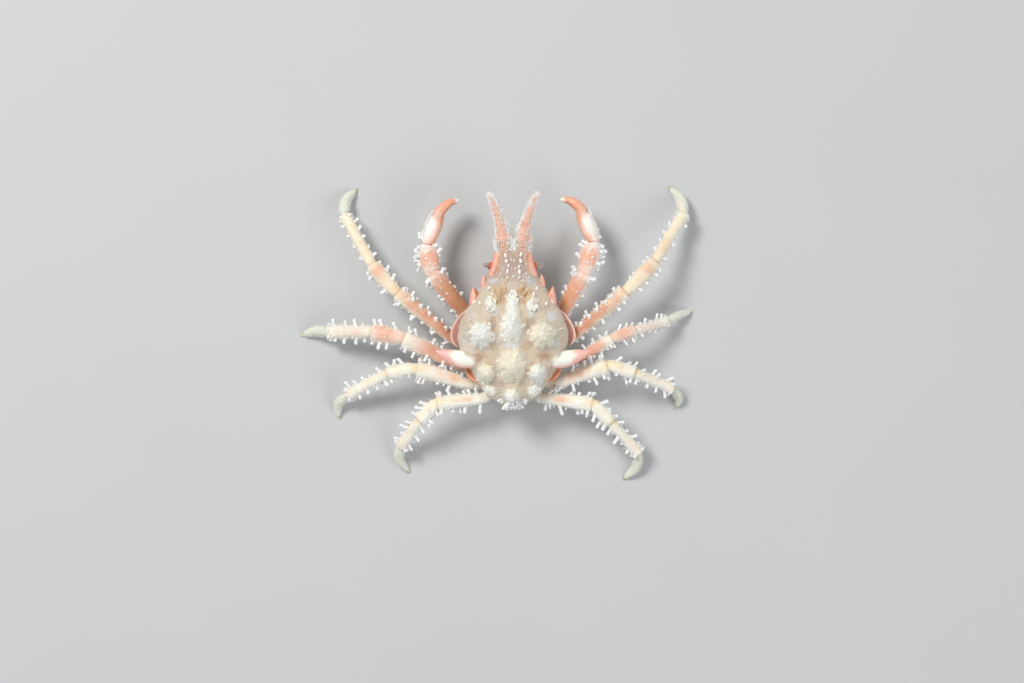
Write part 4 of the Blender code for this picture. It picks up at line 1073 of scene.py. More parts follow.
def boss_places():
    """Each boss on each side as its name, x, y, half breadth, half length, height, leans and scales."""
    for name, (x, y, across, along, height, aside, ahead, paired, scales) in BOSSES.items():
        for side in ((1, -1) if paired else (1,)):
            yield name, x * side + BOSS_SHIFT, y, across, along, height, aside * side, ahead, scales


def is_straw(boss):
    return any(boss[0] == name and boss[1] * side > 0 for name, side in STRAW_BOSSES)


def boss_rise(x, y, boss):
    _, bx, by, across, along = boss[:5]
    turn = np.arctan2(y - by, x - bx)
    lobes = 1 + 0.06 * np.cos(6 * turn + bx) + 0.05 * np.cos(11 * turn + by)
    return bell(np.hypot((x - bx) / across, (y - by) / along) / lobes) ** 0.95


def raised(points):
    """The points of the carapace's back with the bosses' rise and lean added."""
    lifted = points.copy()
    for boss in boss_places():
        rise = boss_rise(points[:, 0], points[:, 1], boss) * boss[5]
        lifted[:, 0] += boss[6] * rise
        lifted[:, 1] += boss[7] * rise
        lifted[:, 2] += rise
    return lifted


def carapace_ring(y, shrink=1.0):
    """One cross-section of the carapace: the arch from right to left, then the underside back."""
    half = between(HALF_WIDTH, y)
    top, edge = between(DORSAL_LINE, y), between(EDGE_LINE, y)
    shelf, keel = between(SHELF_LINE, y), between(KEEL_LINE, y)
    turn = np.linspace(0, np.pi, ARCH_POINTS)
    height = edge + (top - edge) * np.sin(turn) ** 0.85
    arch = raised(np.stack([half * np.cos(turn), np.full(ARCH_POINTS, y), height], axis=-1))
    arch[:, 2] -= FRONT_GROOVE * bell(arch[:, 0] / 1.3) * min(max((y - 23.8) / 2.4, 0.0), 1.0)
    marks = [(1.0, edge)]
    for share, level in UNDERSIDE:
        marks.append((share, shelf + level * ((edge - shelf) if level > 0 else (shelf - keel))))
    marks.append((0.0, keel))
    marks += [(-share, z) for share, z in reversed(marks[:-1])]
    sweep = np.linspace(0, len(marks) - 1, UNDERSIDE_POINTS + 2)[1:-1]
    x = np.interp(sweep, range(len(marks)), [-share * half for share, _ in marks])
    z = np.interp(sweep, range(len(marks)), [z for _, z in marks])
    ring = np.concatenate([arch, np.stack([x, np.full(len(x), y), z], axis=-1)])
    middle = ring.mean(axis=0)
    for axis in (0, 2):
        ring[:, axis] = middle[axis] + (ring[:, axis] - middle[axis]) * shrink
    return ring


def build_carapace():
    """The carapace's skin, still in millimetres, with where its coat grows and where its bosses are."""
    step = (FRONT - REAR) / (CARAPACE_STATIONS - 1)
    rings = [carapace_ring(REAR + k * step) for k in range(CARAPACE_STATIONS)]
    for ahead, shrink in ((0.2, 0.95), (0.55, 0.85), (0.95, 0.7), (1.25, 0.5), (1.42, 0.26)):
        rings.append(carapace_ring(FRONT, shrink) + (0, ahead, 0))
    for behind, shrink in ((0.1, 0.92), (0.17, 0.75), (0.2, 0.5)):
        rings.insert(0, carapace_ring(REAR, shrink) - (0, behind, 0))
    piece = loft("carapace_shell", rings)
    mesh = piece.data
    points = coords(mesh)
    x, y, z = points.T
    back = z > np.array([between(EDGE_LINE, v) for v in y]) + 0.3
    crest, straw, peach = (np.zeros(len(points)) for _ in range(3))
    for boss in boss_places():
        if boss[8]:
            aside, ahead = (lean * boss[5] * 0.6 for lean in boss[6:8])
            crest = np.maximum(crest, boss_rise(x - aside, y - ahead, boss))
        if is_straw(boss):
            straw = np.maximum(straw, boss_rise(x, y, boss))
    crest = crest * back
    for name in FRONT_PLATES:
        for side in SIDES.values():
            path = smooth_path(mirrored(PLATES[name][0], side), 12)[5:]
            nearest = np.min([np.hypot(x - p.x, y - p.y) for p in path], axis=0)
            peach = np.maximum(peach, 0.8 * bell(nearest / 1.15))
    right, shifted = x > 0, x - BOSS_SHIFT
    ridge = back * patches(x, y, SPINE_RIDGE)
    # Valleys: browner pigment between the bosses, with painted shade in those hollows
    valley = patches(shifted, y, VALLEY_BROWN_AND_SHADE) * back * (1 - 0.6 * crest) * (0.95 + 0.3 * grain(points, 1.4, 3.0))
    frost = 0.4 * bell(x / 5.5) * bell((y - 11) / 9) + patches(shifted, y, FROSTED)
    # the right-only patches are partly painted cool light on the crab's right side
    frost = frost + 0.5 * grain(points, 1.8, 9.0) + right * patches(x, y, FROST_AND_COOL_LIGHT_RIGHT)
    frost = np.clip(frost, 0, 1) * (1 - crest)
    gold = (patches(shifted, y, GOLDEN) + right * patches(x, y, GOLDEN_RIGHT)) * back * (1 - crest)
    dusk = patches(shifted, y, DUSKY) * back * (1 - crest)
    rose = bell((y - 22.5) / 7.5) * 0.85 * (1 - crest)
    horn = bell((np.abs(x) - 1.35) / 1.25) * np.clip((y - 22.9) / 2.6, 0, 1)
    along, above, long, high, deep = ORBIT_PIT
    orbit = bell(np.hypot((y - along) / long, (z - above) / high)) * (np.abs(x) > 2.4)
    pit = patches(x, y, ANTENNULE_PIT) * (outward(mesh)[:, 2] < -0.2)
    # The orbits and the antennule pits take the valley colour as painted shade
    valley = np.clip(valley * (1 - 0.7 * ridge) + orbit + pit, 0, 1)
    relief = 0.09 * grain(points, 1.3) + 0.055 * grain(points, 0.5, 7.0) + 0.05 * cells(points, 0.55)
    scaly = 0.14 * cells(points, 0.8, 4.0) + 0.1 * cells(points, 0.45, 6.0)
    relief = relief * np.where(back, 1.0, 0.5) + crest * scaly - deep * orbit - ANTENNULE_DEPTH * pit
    set_coords(mesh, points + outward(mesh) * relief[:, None])
    mark(mesh, crest=np.maximum(crest, 0.5 * ridge), valley=valley, frost=frost, rose=rose)
    mark(mesh, peach=peach, horn=horn, gold=gold, dusk=dusk, straw=straw)
    cover = np.where(back, 1.0, 0.4)
    for share, area in ((0.6, valley), (0.8, peach), (0.55, crest), (0.5, gold), (0.6, ridge)):
        cover = cover * (1 - share * area)
    return piece, cover, crest


def make_plate(name, side_name, side):
    """A smooth lamella on the carapace's edge, thin at its rim."""
    line, wide, thick = PLATES[name]
    course = Course([mirrored(line, side)], rounding=2)
    rings = bar_rings(wide, thick, 13, 0.45, 0.45)
    piece = blank(f"{name}_{side_name}", rings, 12)
    straight = coords(piece.data)
    t = straight[:, 2] / TURN
    # the outer side of the plate is to the right of its course on the crab's right, which runs backwards
    outer_way = np.sign(course.read(course.across, t)[:, 0] * side + 1e-6)
    reach = np.clip(straight[:, 0] * outer_way / np.maximum(ring_width(rings, t), 0.05), -1, 1)
    outer = np.clip(reach, 0, 1)
    straight[:, 1] *= 1 - 0.55 * outer ** 1.5
    if name == "orbital_eave":
        straight[:, 1] -= 0.3 * reach + 0.1
    if name not in FRONT_PLATES:
        straight[:, 1] += 0.28 * outer ** 2 - 0.1 * bell(reach - 0.3)
    points = course.bent(straight)
    set_coords(piece.data, points + 0.02 * grain(points, 0.8)[:, None] * (0, 0, 1))
    rim = np.clip((reach - 0.4) / 0.4, 0, 1)
    gloss = root = np.zeros(len(t))
    # a white spot painted on the hepatic lobe as a highlight
    if name == "hepatic_lobe":
        gloss = 1.1 * bell(np.hypot((t - 0.36) / 0.22, (reach - 0.25) / 0.7))
    if name in ("hepatic_lobe", "postorbital_tooth"):
        rim = np.maximum(rim * 0.8, 0.8 * np.clip((t - 0.6) / 0.3, 0, 1) * np.clip(reach + 0.5, 0, 1))
    if name in FRONT_PLATES:
        inner = 0.35 if name == "hepatic_lobe" else 1.2
        root = np.maximum(inner * np.clip(0.25 - reach, 0, 1), np.clip(1.2 - t / (0.3 + 0.1 * reach), 0, 1))
    mark(piece.data, rim=rim, gloss=gloss, root=root, reach=reach * 0.5 + 0.5)
    finish_piece(piece, LOOKS["front_plate" if name in FRONT_PLATES else name])


def make_lateral_spine(side_name, side):
    line, wide, thick = LATERAL_SPINE
    course = Course([mirrored(line, side)], rounding=2)
    rings = bar_rings(wide, thick, 16, 1.0, 0.5)
    piece = blank(f"lateral_spine_{side_name}", rings, 14)
    straight = coords(piece.data)
    t = straight[:, 2] / TURN
    front = straight[:, 0] * side / ring_width(rings, t)
    behind = np.clip(-front, 0, 1)
    straight[:, 1] *= 1 - 0.35 * behind ** 1.5
    points = course.bent(straight)
    set_coords(piece.data, points + 0.03 * grain(points, 0.9)[:, None])
    top = np.clip(straight[:, 1], 0, 1)
    rose = np.clip(0.95 * behind - 0.2 * top + 1.1 * np.clip((t - 0.52) / 0.3, 0, 1), 0, 1)
    mark(piece.data, rose=rose, rim=behind ** 3, root=np.clip(1.0 - (t - 0.12) / 0.14 + 0.9 * front, 0, 1))
    finish_piece(piece, LOOKS["horn"])


def rostral_width(share):
    web = 0.24 * math.exp(-(max(share, 0) / 0.09) ** 2)
    return ROSTRAL_HALF_WIDTH * (1 - ROSTRAL_TAPER * min(max(share, 0), 1) ** ROSTRAL_SWELL) + web


def rostral_course(side):
    base, tip = Vector(ROSTRAL_BASE), Vector(ROSTRAL_TIP)
    bow = Vector((ROSTRAL_BOW, 0, 0))
    line = [base, base.lerp(tip, 0.3) + bow, base.lerp(tip, 0.7) + bow, tip]
    root = [Vector(ROSTRAL_ROOT), Vector(ROSTRAL_ROOT).lerp(base, 0.5), base]
    return Course([mirrored(points, side) for points in (root, line)], rounding=16)


def build_rostral_spine(side_name, side):
    course = rostral_course(side)
    rings = [(0.0, 1.1, 0.8), (0.5 * TURN, 1.4, 1.0), (0.8 * TURN, 1.55, 1.1)]
    count = 26
    for k in range(count):
        share = k / (count - 1)
        wide = rostral_width(share) * (0.5 if k == count - 1 else 1.0)
        rings.append(((1 + share) * TURN, wide, wide * ROSTRAL_DEPTH))
    piece = blank(f"rostral_spine_{side_name}_shell", rings, 16)
    straight = coords(piece.data)
    share = np.clip(straight[:, 2] / TURN - 1, 0, 1)
    turn = np.arctan2(straight[:, 1], straight[:, 0])
    points = course.bent(straight)
    out = unit(points - course.read(course.points, straight[:, 2] / TURN) + 1e-9)
    relief = 0.05 * grain(points, 0.7) + 0.05 * cells(points, 0.42, 3.0)
    set_coords(piece.data, points + out * relief[:, None])
    mark(piece.data, pale=0.35 * np.abs(np.cos(turn)) ** 3 + np.clip((share - 0.8) / 0.2, 0, 1))
    return piece, course


def build_eye(side_name, side):
    """A short stalk and its round cornea."""
    seat, way = mirrored((EYE_SEAT, EYE_WAY), side)
    way = way * EYE_REACH
    course = Course([[seat - way * 0.4, seat, seat + way]], rounding=4)
    rings = [(s * TURN, r * EYE_STALK_RADIUS, r * EYE_STALK_RADIUS) for s, r in EYE_STALK]
    stalk = blank(f"eye_{side_name}_stalk", rings, 14)
    set_coords(stalk.data, course.bent(coords(stalk.data)))
    finish_piece(stalk, LOOKS["eye_stalk"], [f"eye_{side_name}"])
    turns = [math.pi * k / 14 for k in range(1, 14)]
    globes = (("cornea", 0.69, 0.26, EYE_RADIUS), ("eye_core", 0.74, 0.12, 0.5 * EYE_RADIUS))
    for part, middle, half, radius in globes:
        rings = [((middle - half * math.cos(turn)) * TURN, *[radius * math.sin(turn)] * 2) for turn in turns]
        globe = blank(f"eye_{side_name}_{part}", rings, 16)
        straight = coords(globe.data)
        rim = np.clip(np.hypot(straight[:, 0], straight[:, 1]) / radius, 0, 1)
        set_coords(globe.data, course.bent(straight))
        mark(globe.data, rim=rim ** 2)
        finish_piece(globe, LOOKS[part])


def build_antenna(side_name, side):
    """Two stout articles and a whip of many short rings."""
    course = Course([mirrored(ANTENNA_PATH, side)], rounding=4)
    shape = [
        (0.0, 0.5), (0.05, 0.58), (0.14, 0.6), (0.22, 0.56), (0.25, 0.5), (0.265, 0.34), (0.28, 0.42),
        (0.31, 0.48), (0.38, 0.5), (0.45, 0.46), (0.49, 0.4), (0.505, 0.28), (0.52, 0.3), (0.56, 0.34),
        (0.62, 0.31), (0.66, 0.26),
    ]
    whip = 12
    for k in range(whip):
        s = 0.68 + 0.32 * k / whip
        wide = 0.24 - 0.13 * k / whip
        shape += [(s, wide), (s + 0.2 / whip, wide * 0.82)]
    shape.append((1.0, 0.08))
    piece = blank(f"antenna_{side_name}_shell", [(s * TURN, r, r) for s, r in shape], 10)
    straight = coords(piece.data)
    t = straight[:, 2] / TURN
    set_coords(piece.data, course.bent(straight))
    groove = bell((t - 0.265) / 0.02) + bell((t - 0.507) / 0.02)
    mark_limb(piece.data, rose=np.clip(0.8 - t, 0, 1), pale=np.clip(t - 0.45, 0, 1), groove=groove)
    finish_piece(piece, LOOKS["leg3"], [f"antenna_{side_name}"])


def low_grains(name, piece, groove, count):
    """Low pale grains over a piece of the underside, none in its grooves."""
    rng = random.Random(5)
    roots = specks(Lawn(piece, (1 - groove) ** 2), rng, count, (0.05, 0.12), (0.7, 1.2), 0.0)
    grow(name, SPECK, roots, LOOKS["white_grain"], rng)


def build_sternum():
    outline = ((1.0, -0.55), (1.0, 0.0), (1.0, 0.55), (0.93, 0.9), (0.7, 1.0), (0.35, 1.0))
    middle = (STERNUM_TOP + STERNUM_FLOOR) / 2
    deep = (STERNUM_TOP - STERNUM_FLOOR) / 2
    first, last = STERNUM_LINE[0][0], STERNUM_LINE[-1][0]
    count = 90
    rings = []
    for k in range(count):
        y = first + (last - first) * k / (count - 1)
        suture = sum(float(bell((y - place) / 0.28)) for place in STERNAL_SUTURES)
        half = between(STERNUM_LINE, y) - 0.18 * suture
        right = [(half * x, y, middle + deep * z) for x, z in outline]
        left = [(-x, y, z) for x, y, z in reversed(right)]
        floor = []
        for j in range(33):
            x = -0.96 + 1.92 * j / 32
            swell = 0.16 * math.cos(math.pi * abs(x) * 2.2) * (1 - suture)
            cut = 0.3 * suture * min(1.0, abs(x) * 2.5)
            corner = 0.35 * max(0.0, abs(x) - 0.75)
            floor.append((x * half, y, STERNUM_FLOOR + cut + corner - min(swell, 0.0)))
        rings.append(right + left + floor)
    piece = loft("sternum_shell", rings)
    points = coords(piece.data)
    groove = sum(bell((points[:, 1] - place) / 0.45) for place in STERNAL_SUTURES)
    set_coords(piece.data, points + outward(piece.data) * (0.03 * grain(points, 0.7))[:, None])
    mark(piece.data, groove=groove)
    low_grains("sternum_grains", piece, groove, STERNUM_GRAINS)
    finish_piece(piece, LOOKS["underside"], ["sternum"])


def build_pleon():
    """The folded tail: seven plates, each a little swollen, with a low keel."""
    line = [Vector((0, y, z)) for y, z in PLEON_PATH]
    path = smooth_path(line, 120)
    spread = (len(PLEON_PATH) - 1) / 119
    rings = []
    marks = []
    for k, centre in enumerate(path):
        s = k * spread
        ahead, behind = path[min(k + 1, 119)], path[max(k - 1, 0)]
        way = (ahead - behind).normalized()
        across = Vector((0, 0.5, 1)).cross(way).normalized()
        above = way.cross(across)
        cut = sum(float(bell((s - joint) / 0.13)) for joint in PLEON_JOINTS)
        half = between(list(enumerate(PLEON_HALF_WIDTH)), s) * (1 - 0.13 * cut)
        ring = []
        for j in range(36):
            turn = 2 * math.pi * j / 36
            x, z = signed_power(math.cos(turn), 0.88), signed_power(math.sin(turn), 0.95)
            keel = 0.16 * max(0.0, 1 - abs(x) * 4) * (1 - cut) if z < 0 else 0.0
            arch = 0.3 * (1 - x * x) if z < 0 else 0.0
            thick = 0.4 * (1 - 0.3 * cut) + keel + arch
            ring.append(centre + across * half * x + above * thick * z)
            marks.append(cut)
        rings.append([tuple(p) for p in ring])
    piece = loft("pleon_shell", rings)
    marks += [0.0, 0.0]
    points = coords(piece.data)
    set_coords(piece.data, points + outward(piece.data) * (0.02 * grain(points, 0.6))[:, None])
    mark(piece.data, groove=np.clip(marks, 0, 1))
    low_grains("pleon_grains", piece, np.clip(marks, 0, 1), PLEON_GRAINS)
    finish_piece(piece, LOOKS["underside"], ["pleon"])


def make_lobe(name, line, wide, thick, side):
    """A rounded bar along a line, with its half widths given at the line's points."""
    rings = []
    for place, width, _ in bar_rings(wide, wide, 9, LOBE_END, LOBE_END):
        rings.append((place, width, min(thick, width) * (LOBE_END if place in (0, TURN) else 1.0)))
    piece = blank(name, rings, 12)
    return piece, coords(piece.data), Course([mirrored(line, side)], rounding=2)


def build_face():
    """The joints at the roots of the feelers, the floors of the orbits and the ridge before the mouth."""
    for part, (line, wide, thick, paired) in FACE.items():
        for side_name, side in (SIDES.items() if paired else (("middle", 1),)):
            piece, straight, course = make_lobe(f"{part}_{side_name}", line, wide, thick, side)
            points = course.bent(straight)
            set_coords(piece.data, points + 0.04 * grain(points, 0.5)[:, None])
            mark(piece.data, groove=0.45 + 0.4 * bell((straight[:, 2] / TURN - 1.0) / 0.4))
            finish_piece(piece, LOOKS["underside"])


def build_maxilliped(side_name, side):
    for part, line, wide, thick in MAXILLIPED:
        piece, straight, course = make_lobe(f"maxilliped_{side_name}_{part}", line, wide, thick, side)
        groove = bell(straight[:, 0] / 0.22) * bell((straight[:, 2] / TURN - 0.5) / 0.5) * (part == "ischium")
        straight[:, 1] += np.where(straight[:, 1] < 0, 0.12 * groove, 0)
        points = course.bent(straight)
        set_coords(piece.data, points + 0.02 * grain(points, 0.6)[:, None])
        mark(piece.data, groove=groove * 0.8)
        nodes = [f"maxilliped_{side_name}"] if part == "ischium" else ()
        finish_piece(piece, LOOKS["underside"], nodes)


def build_inner_wall():
    """The soft wall between the carapace's underside, the sternum and the roots of the limbs."""
    rings = []
    for k in range(40):
        y = 0.9 + (13.2 - 0.9) * k / 39
        half = between(STERNUM_LINE, min(y, 12.3)) * 0.94
        ring = []
        for j in range(32):
            turn = 2 * math.pi * j / 32
            x, z = signed_power(math.cos(turn), 0.6), signed_power(math.sin(turn), 0.6)
            ring.append((x * half, y, 6.6 + 1.3 * z))
        rings.append(ring)
    piece = loft("soft_side_wall", rings)
    points = coords(piece.data)
    mark(piece.data, groove=np.full(len(points), 0.7))
    finish_piece(piece, LOOKS["underside"])


# Limbs


def limb_joints(pair, side_name):
    (x, y), headings, reaches, _ = POSES[pair, side_name]
    side = SIDES[side_name]
    joints = [Vector((x * side, y, JOINT_HEIGHTS[pair][0]))]
    for heading, reach, z in zip(headings, reaches, JOINT_HEIGHTS[pair][1:]):
        x += reach * math.cos(math.radians(heading))
        y += reach * math.sin(math.radians(heading))
        joints.append(Vector((x * side, y, z)))
    return joints


def coxa_seat(pair, side_name):
    y, side = COXA_AT[pair], SIDES[side_name]
    slope = (between(STERNUM_LINE, y + 0.3) - between(STERNUM_LINE, y - 0.3)) / 0.6
    out = Vector((side, -slope, 0)).normalized()
    wall = Vector((between(STERNUM_LINE, y) * side, y, COXA_HEIGHT[pair]))
    return wall + out * GAP, out


class Limb:
    """The course of a limb, the half widths along it and its segments."""

    def __init__(self, pair, side_name):
        self.pair = pair
        self.side = SIDES[side_name]
        self.name = f"{pair}_{side_name}"
        self.size = POSES[pair, side_name][3]
        self.joints = joints = limb_joints(pair, side_name)
        self.thick = [t * self.size for t in THICKNESS[pair]]
        seat, out = coxa_seat(pair, side_name)
        hip = seat.lerp(joints[0], 0.4) + out * GAP
        middles = [a.lerp(b, 0.5) for a, b in zip(joints, joints[1:])]
        stretches = [(seat - out * GAP * 1.5, hip, joints[0], middles[0], joints[1])]
        stretches += [(joints[k], middles[k], joints[k + 1]) for k in (1, 2)]
        self.kinds = ["merus", "carpus", "palm"]
        if pair != "claw":
            self.kinds[2:] = ["propodus", "dactylus"]
            stretches.append(joints[3:])
        self.course = Course(stretches, rounding=14, start=tuple(out))
        self.rings = []
        for index, kind in enumerate(self.kinds):
            profile = "wrist" if (pair, kind) == ("claw", "carpus") else kind
            deep = PALM_DEPTH if kind == "palm" else 1.0
            for share, wide in PROFILES[profile]:
                radius = wide * self.thick[index]
                self.rings.append(((index + share) * TURN, radius, radius * deep))

    def length(self, index):
        start, end = index * COURSE_STEPS, (index + 1) * COURSE_STEPS
        steps = np.diff(self.course.points[start:end + 1], axis=0)
        return float(np.linalg.norm(steps, axis=1).sum())

    def root(self, t, bearing, sink, lean, length, radius, bend=(0.0, 0.0, 0.0)):
        """A root at a bearing of 0 front, 90 top, sunk into the limb and leaning along it."""
        turn = math.radians(bearing)
        middle, across, above, way = self.course.ways_at(t)
        out = across * self.side * math.cos(turn) + above * math.sin(turn)
        foot = middle + out * ring_width(self.rings, t) - out * sink
        patch = (0.02 + 0.96 * t / len(self.kinds), 0.02 + 0.96 * ((bearing + 90) % 360) / 360)
        return Root(foot, out + way * lean, length, radius, patch, bend)


def limb_marks(limb, straight):
    """Pigment over a limb's blank: rose, brown, pale and the dark of the joints."""
    t = straight[:, 2] / TURN
    bearing = np.arctan2(straight[:, 1], straight[:, 0] * limb.side)
    over = 0.5 + 0.5 * np.cos(bearing - math.radians(80))
    behind = np.clip(-np.cos(bearing), 0, 1)
    darker = LEFT_CLAW_BROWN if limb.name == "claw_left" else 1.0
    outer_pale = 0.75 if limb.name == "claw_right" else 0.4
    rose, pale, groove, gold = (np.zeros(len(t)) for _ in range(4))
    for index, kind in enumerate(limb.kinds):
        share = t - index
        here = (share >= 0) & (share <= 1)
        for middle, half, strength in ROSE[limb.pair].get(kind, ()):
            aside = np.degrees(bearing - math.radians(85)) / ROSE_SPREAD[limb.pair]
            rose += np.where(here, strength * bell(np.hypot((share - middle) / half, aside)), 0)
        end = 0.08 if kind == "merus" else 0.12
        pale += np.where(here, 0.35 * bell((share - 0.96) / end), 0)
        groove += bell((share - 1.0) / 0.02) * (0.4 if limb.pair == "claw" else 1.0)
        gold += 0.5 * bell((share - 1.0) / 0.12)
        if kind == "merus":
            groove += 0.6 * bell((share - 0.105) / 0.02) + 0.6 * bell((share - 0.235) / 0.02)
    return {
        "rose": rose,
        "brown": darker * BROWN[limb.pair] * np.clip(1.25 - t, 0, 1) * (1 - 0.5 * behind),
        "pale": np.clip(pale + outer_pale * behind ** 2 + 0.2 * (1 - over), 0, 1),
        "groove": np.clip(groove, 0, 1),
        "gold": GOLD[limb.pair] * (gold + 0.9 * over * (1 - behind)),
    }


def sculpt_tube(piece, course, relief=0.075, lumps=0.05, lump_size=0.45):
    """Bends a blank to its course and gives its surface low lumps and grains."""
    straight = coords(piece.data)
    points = course.bent(straight)
    out = unit(points - course.read(course.points, straight[:, 2] / TURN) + 1e-9)
    rise = relief * grain(points, 1.2) + 0.5 * relief * grain(points, 0.5, 5.0)
    rise = rise + lumps * cells(points, lump_size, 2.0)
    set_coords(piece.data, points + out * rise[:, None])
    return straight


def above_floor(piece):
    points = coords(piece.data)
    points[:, 2] = np.maximum(points[:, 2], 0.0)
    set_coords(piece.data, points)


def build_limb_skin(limb):
    """One skin over the segments of a limb, up to its walking claw or its hand."""
    stop = len(limb.kinds) - 1
    rings = [ring for ring in limb.rings if ring[0] < stop * TURN + 0.001]
    rings.append((stop * TURN + 0.02 * TURN, rings[-1][1] * 0.6, rings[-1][2] * 0.6))
    piece = blank(f"{limb.name}_skin", rings, 14)
    straight = sculpt_tube(piece, limb.course)
    mark_limb(piece.data, **limb_marks(limb, straight))
    return piece


def build_walking_claw(limb):
    """The curved last segment of a leg and its horn tip."""
    index = limb.kinds.index("dactylus")
    rings = [ring for ring in limb.rings if ring[0] >= index * TURN - 0.001]
    body = blank(f"{limb.name}_walking_claw", rings, 14)
    sculpt_tube(body, limb.course, 0.02, 0.06, 0.36)
    above_floor(body)
    thick = limb.thick[index]
    tip_rings = []
    for k in range(11):
        share = HORN_START + (1 - HORN_START) * k / 10
        wide = thick * (0.34 - 0.28 * k / 10) * (0.4 if k == 10 else 1)
        tip_rings.append(((index + share) * TURN, wide, wide))
    tip = blank(f"{limb.name}_horn_tip", tip_rings, 10)
    set_coords(tip.data, limb.course.bent(coords(tip.data)))
    above_floor(tip)
    return body, tip


def hand_courses(limb):
    """The courses of the hand with the lower finger that it ends in, and of the upper finger, which moves."""
    wrist, knuckle, tip = limb.joints[2:]
    part = UP * FINGER_SPREAD
    bend = knuckle.lerp(tip, 0.5) + Vector((0, FINGER_BOW, 0))
    joint = knuckle - part * 0.7
    lower = [(wrist, wrist.lerp(joint, 0.5), joint), (joint, bend - part, tip - part * 0.55)]
    upper = (
        wrist.lerp(knuckle, 0.74) + part * 0.15, knuckle + part * 0.7, bend + part * 0.7, tip + part * 0.2,
    )
    start = tuple(limb.course.read(limb.course.ways, 2.0))
    return Course(lower, rounding=14, start=start), Course([upper], rounding=3)


def finger_teeth(straight, t, thick, direction):
    """Low rounded teeth along the cutting edge of a finger."""
    inner = np.clip(straight[:, 1] * direction / thick, 0, 1)
    straight[:, 1] += 0.07 * inner * np.sin(t * 60) * direction
    return straight


def build_hand(limb):
    """The hand with the finger it ends in, and the finger that moves."""
    course, upper_course = hand_courses(limb)
    thick, slim = limb.thick[2], limb.thick[3]
    rings = [(share * TURN, wide * thick, wide * thick * PALM_DEPTH) for share, wide in PROFILES["palm"]]
    for share, wide in PROFILES["fixed_finger"]:
        rings.append(((1 + share) * TURN, wide * slim, wide * slim * 0.8))
    hand = blank(f"{limb.name}_hand", rings, 18)
    straight = coords(hand.data)
    t = straight[:, 2] / TURN
    points = course.bent(finger_teeth(straight, t * (t > 1.3), thick, 1))
    set_coords(hand.data, points + 0.04 * grain(points, 1.3)[:, None])
    bearing = np.arctan2(straight[:, 1], straight[:, 0] * limb.side)
    inner = 0.5 + 0.5 * np.cos(bearing)
    rose = 0.3 * bell(t / 0.3) + 0.8 * inner ** 1.5 + 0.9 * np.clip((t - 0.55) / 0.5, 0, 1)
    pale = 0.9 * bell((t - 0.5) / 0.6) * (1 - inner) ** 0.8 + 0.7 * bell((np.degrees(bearing) - 12) / 9)
    pale = pale + 1.2 * np.clip((t - 1.75) / 0.2, 0, 1)
    mark_limb(hand.data, rose=rose, pale=pale)
    rings = [(share * TURN, wide * slim, wide * slim * FINGER_DEPTH) for share, wide in PROFILES["finger"]]
    finger = blank(f"{limb.name}_finger_shell", rings, 14)
    straight = coords(finger.data)
    t = straight[:, 2] / TURN
    set_coords(finger.data, upper_course.bent(finger_teeth(straight, t, slim, -1)))
    tip = 1.1 * np.clip((t - 0.72) / 0.25, 0, 1)
    mark_limb(finger.data, rose=0.15 + np.clip(t / 0.5, 0, 1), pale=tip + 0.25 * bell(t / 0.3))
    return hand, finger


# What grows on the limbs


def club_room(root, trees, reach):
    """How much of a club's length is clear of the other limbs and the floor."""
    for k in range(1, 6):
        point = root.foot + root.way * root.length * k / 5
        blocked = point[2] < root.radius
        blocked = blocked or any(tree.find_nearest(Vector(point), reach)[0] for tree in trees)
        if blocked:
            return (k - 1) / 5
    return 1.0


def club_places(limb, rng):
    """Where a limb's tubercles stand: segment, place along it, bearing, length and thickness."""
    rows = CLAW_ROWS if limb.pair == "claw" else CLUB_ROWS
    for index, kind in enumerate(limb.kinds):
        for bearing, start, end, share, gap in rows.get(kind, ()):
            spacing = CLUB_SPACING[limb.pair] * gap * limb.size
            count = max(2, round(limb.length(index) * (end - start) / spacing))
            for k in range(count):
                place = start + (end - start) * (k + rng.uniform(0.2, 0.8)) / count
                long = share * rng.choice((0.45, 0.75, 0.9, 1.0, 1.1))
                yield index, place, bearing + rng.uniform(-10, 10), long, rng.uniform(0.85, 1.1)
                if rng.random() < 0.45:
                    place += rng.uniform(0.03, 0.06)
                    yield index, place, bearing + rng.uniform(-25, 25), share * 0.35, 0.6
        if kind in CROWNS:
            middle, bearings, share = CROWNS[kind]
            for bearing in bearings:
                long = share * rng.uniform(0.7, 1.15)
                place = middle + rng.uniform(-0.025, 0.02)
                yield index, place, bearing + rng.uniform(-6, 6), long, rng.uniform(0.75, 1.15)
    if limb.pair == "leg1":
        bearing, start, end, share = LEG1_KNOBS
        for k in range(6):
            yield 0, start + (end - start) * (k + rng.uniform(0.3, 0.7)) / 6, bearing, share, 1.1


def limb_clubs(limb, trees, rng):
    """The club-shaped tubercles in rows along a limb's margins and in crowns at its joints."""
    for index, place, bearing, share, stout in club_places(limb, rng):
        long = CLUB_LENGTH[limb.pair] * share * (0.45 + 0.55 * limb.size)
        radius = CLUB_RADIUS[limb.pair] * stout * (0.3 + 0.7 * limb.size)
        away = (bearing + 90) % 360 - 90
        for bend in (0, 18, 36, 54):
            turn = away + bend * (1 if away < 90 else -1)
            sway = [rng.uniform(-0.15, 0.15) for _ in range(3)]
            lean = rng.uniform(0.1, 0.75) if away < 90 else rng.uniform(-0.1, 0.4)
            root = limb.root(index + place, turn, 0.08, lean, long, radius, sway)
            room = club_room(root, trees, radius + 0.1)
            if room == 1.0:
                yield root
                break
        else:
            if room >= 0.6:
                root.length *= room
                yield root


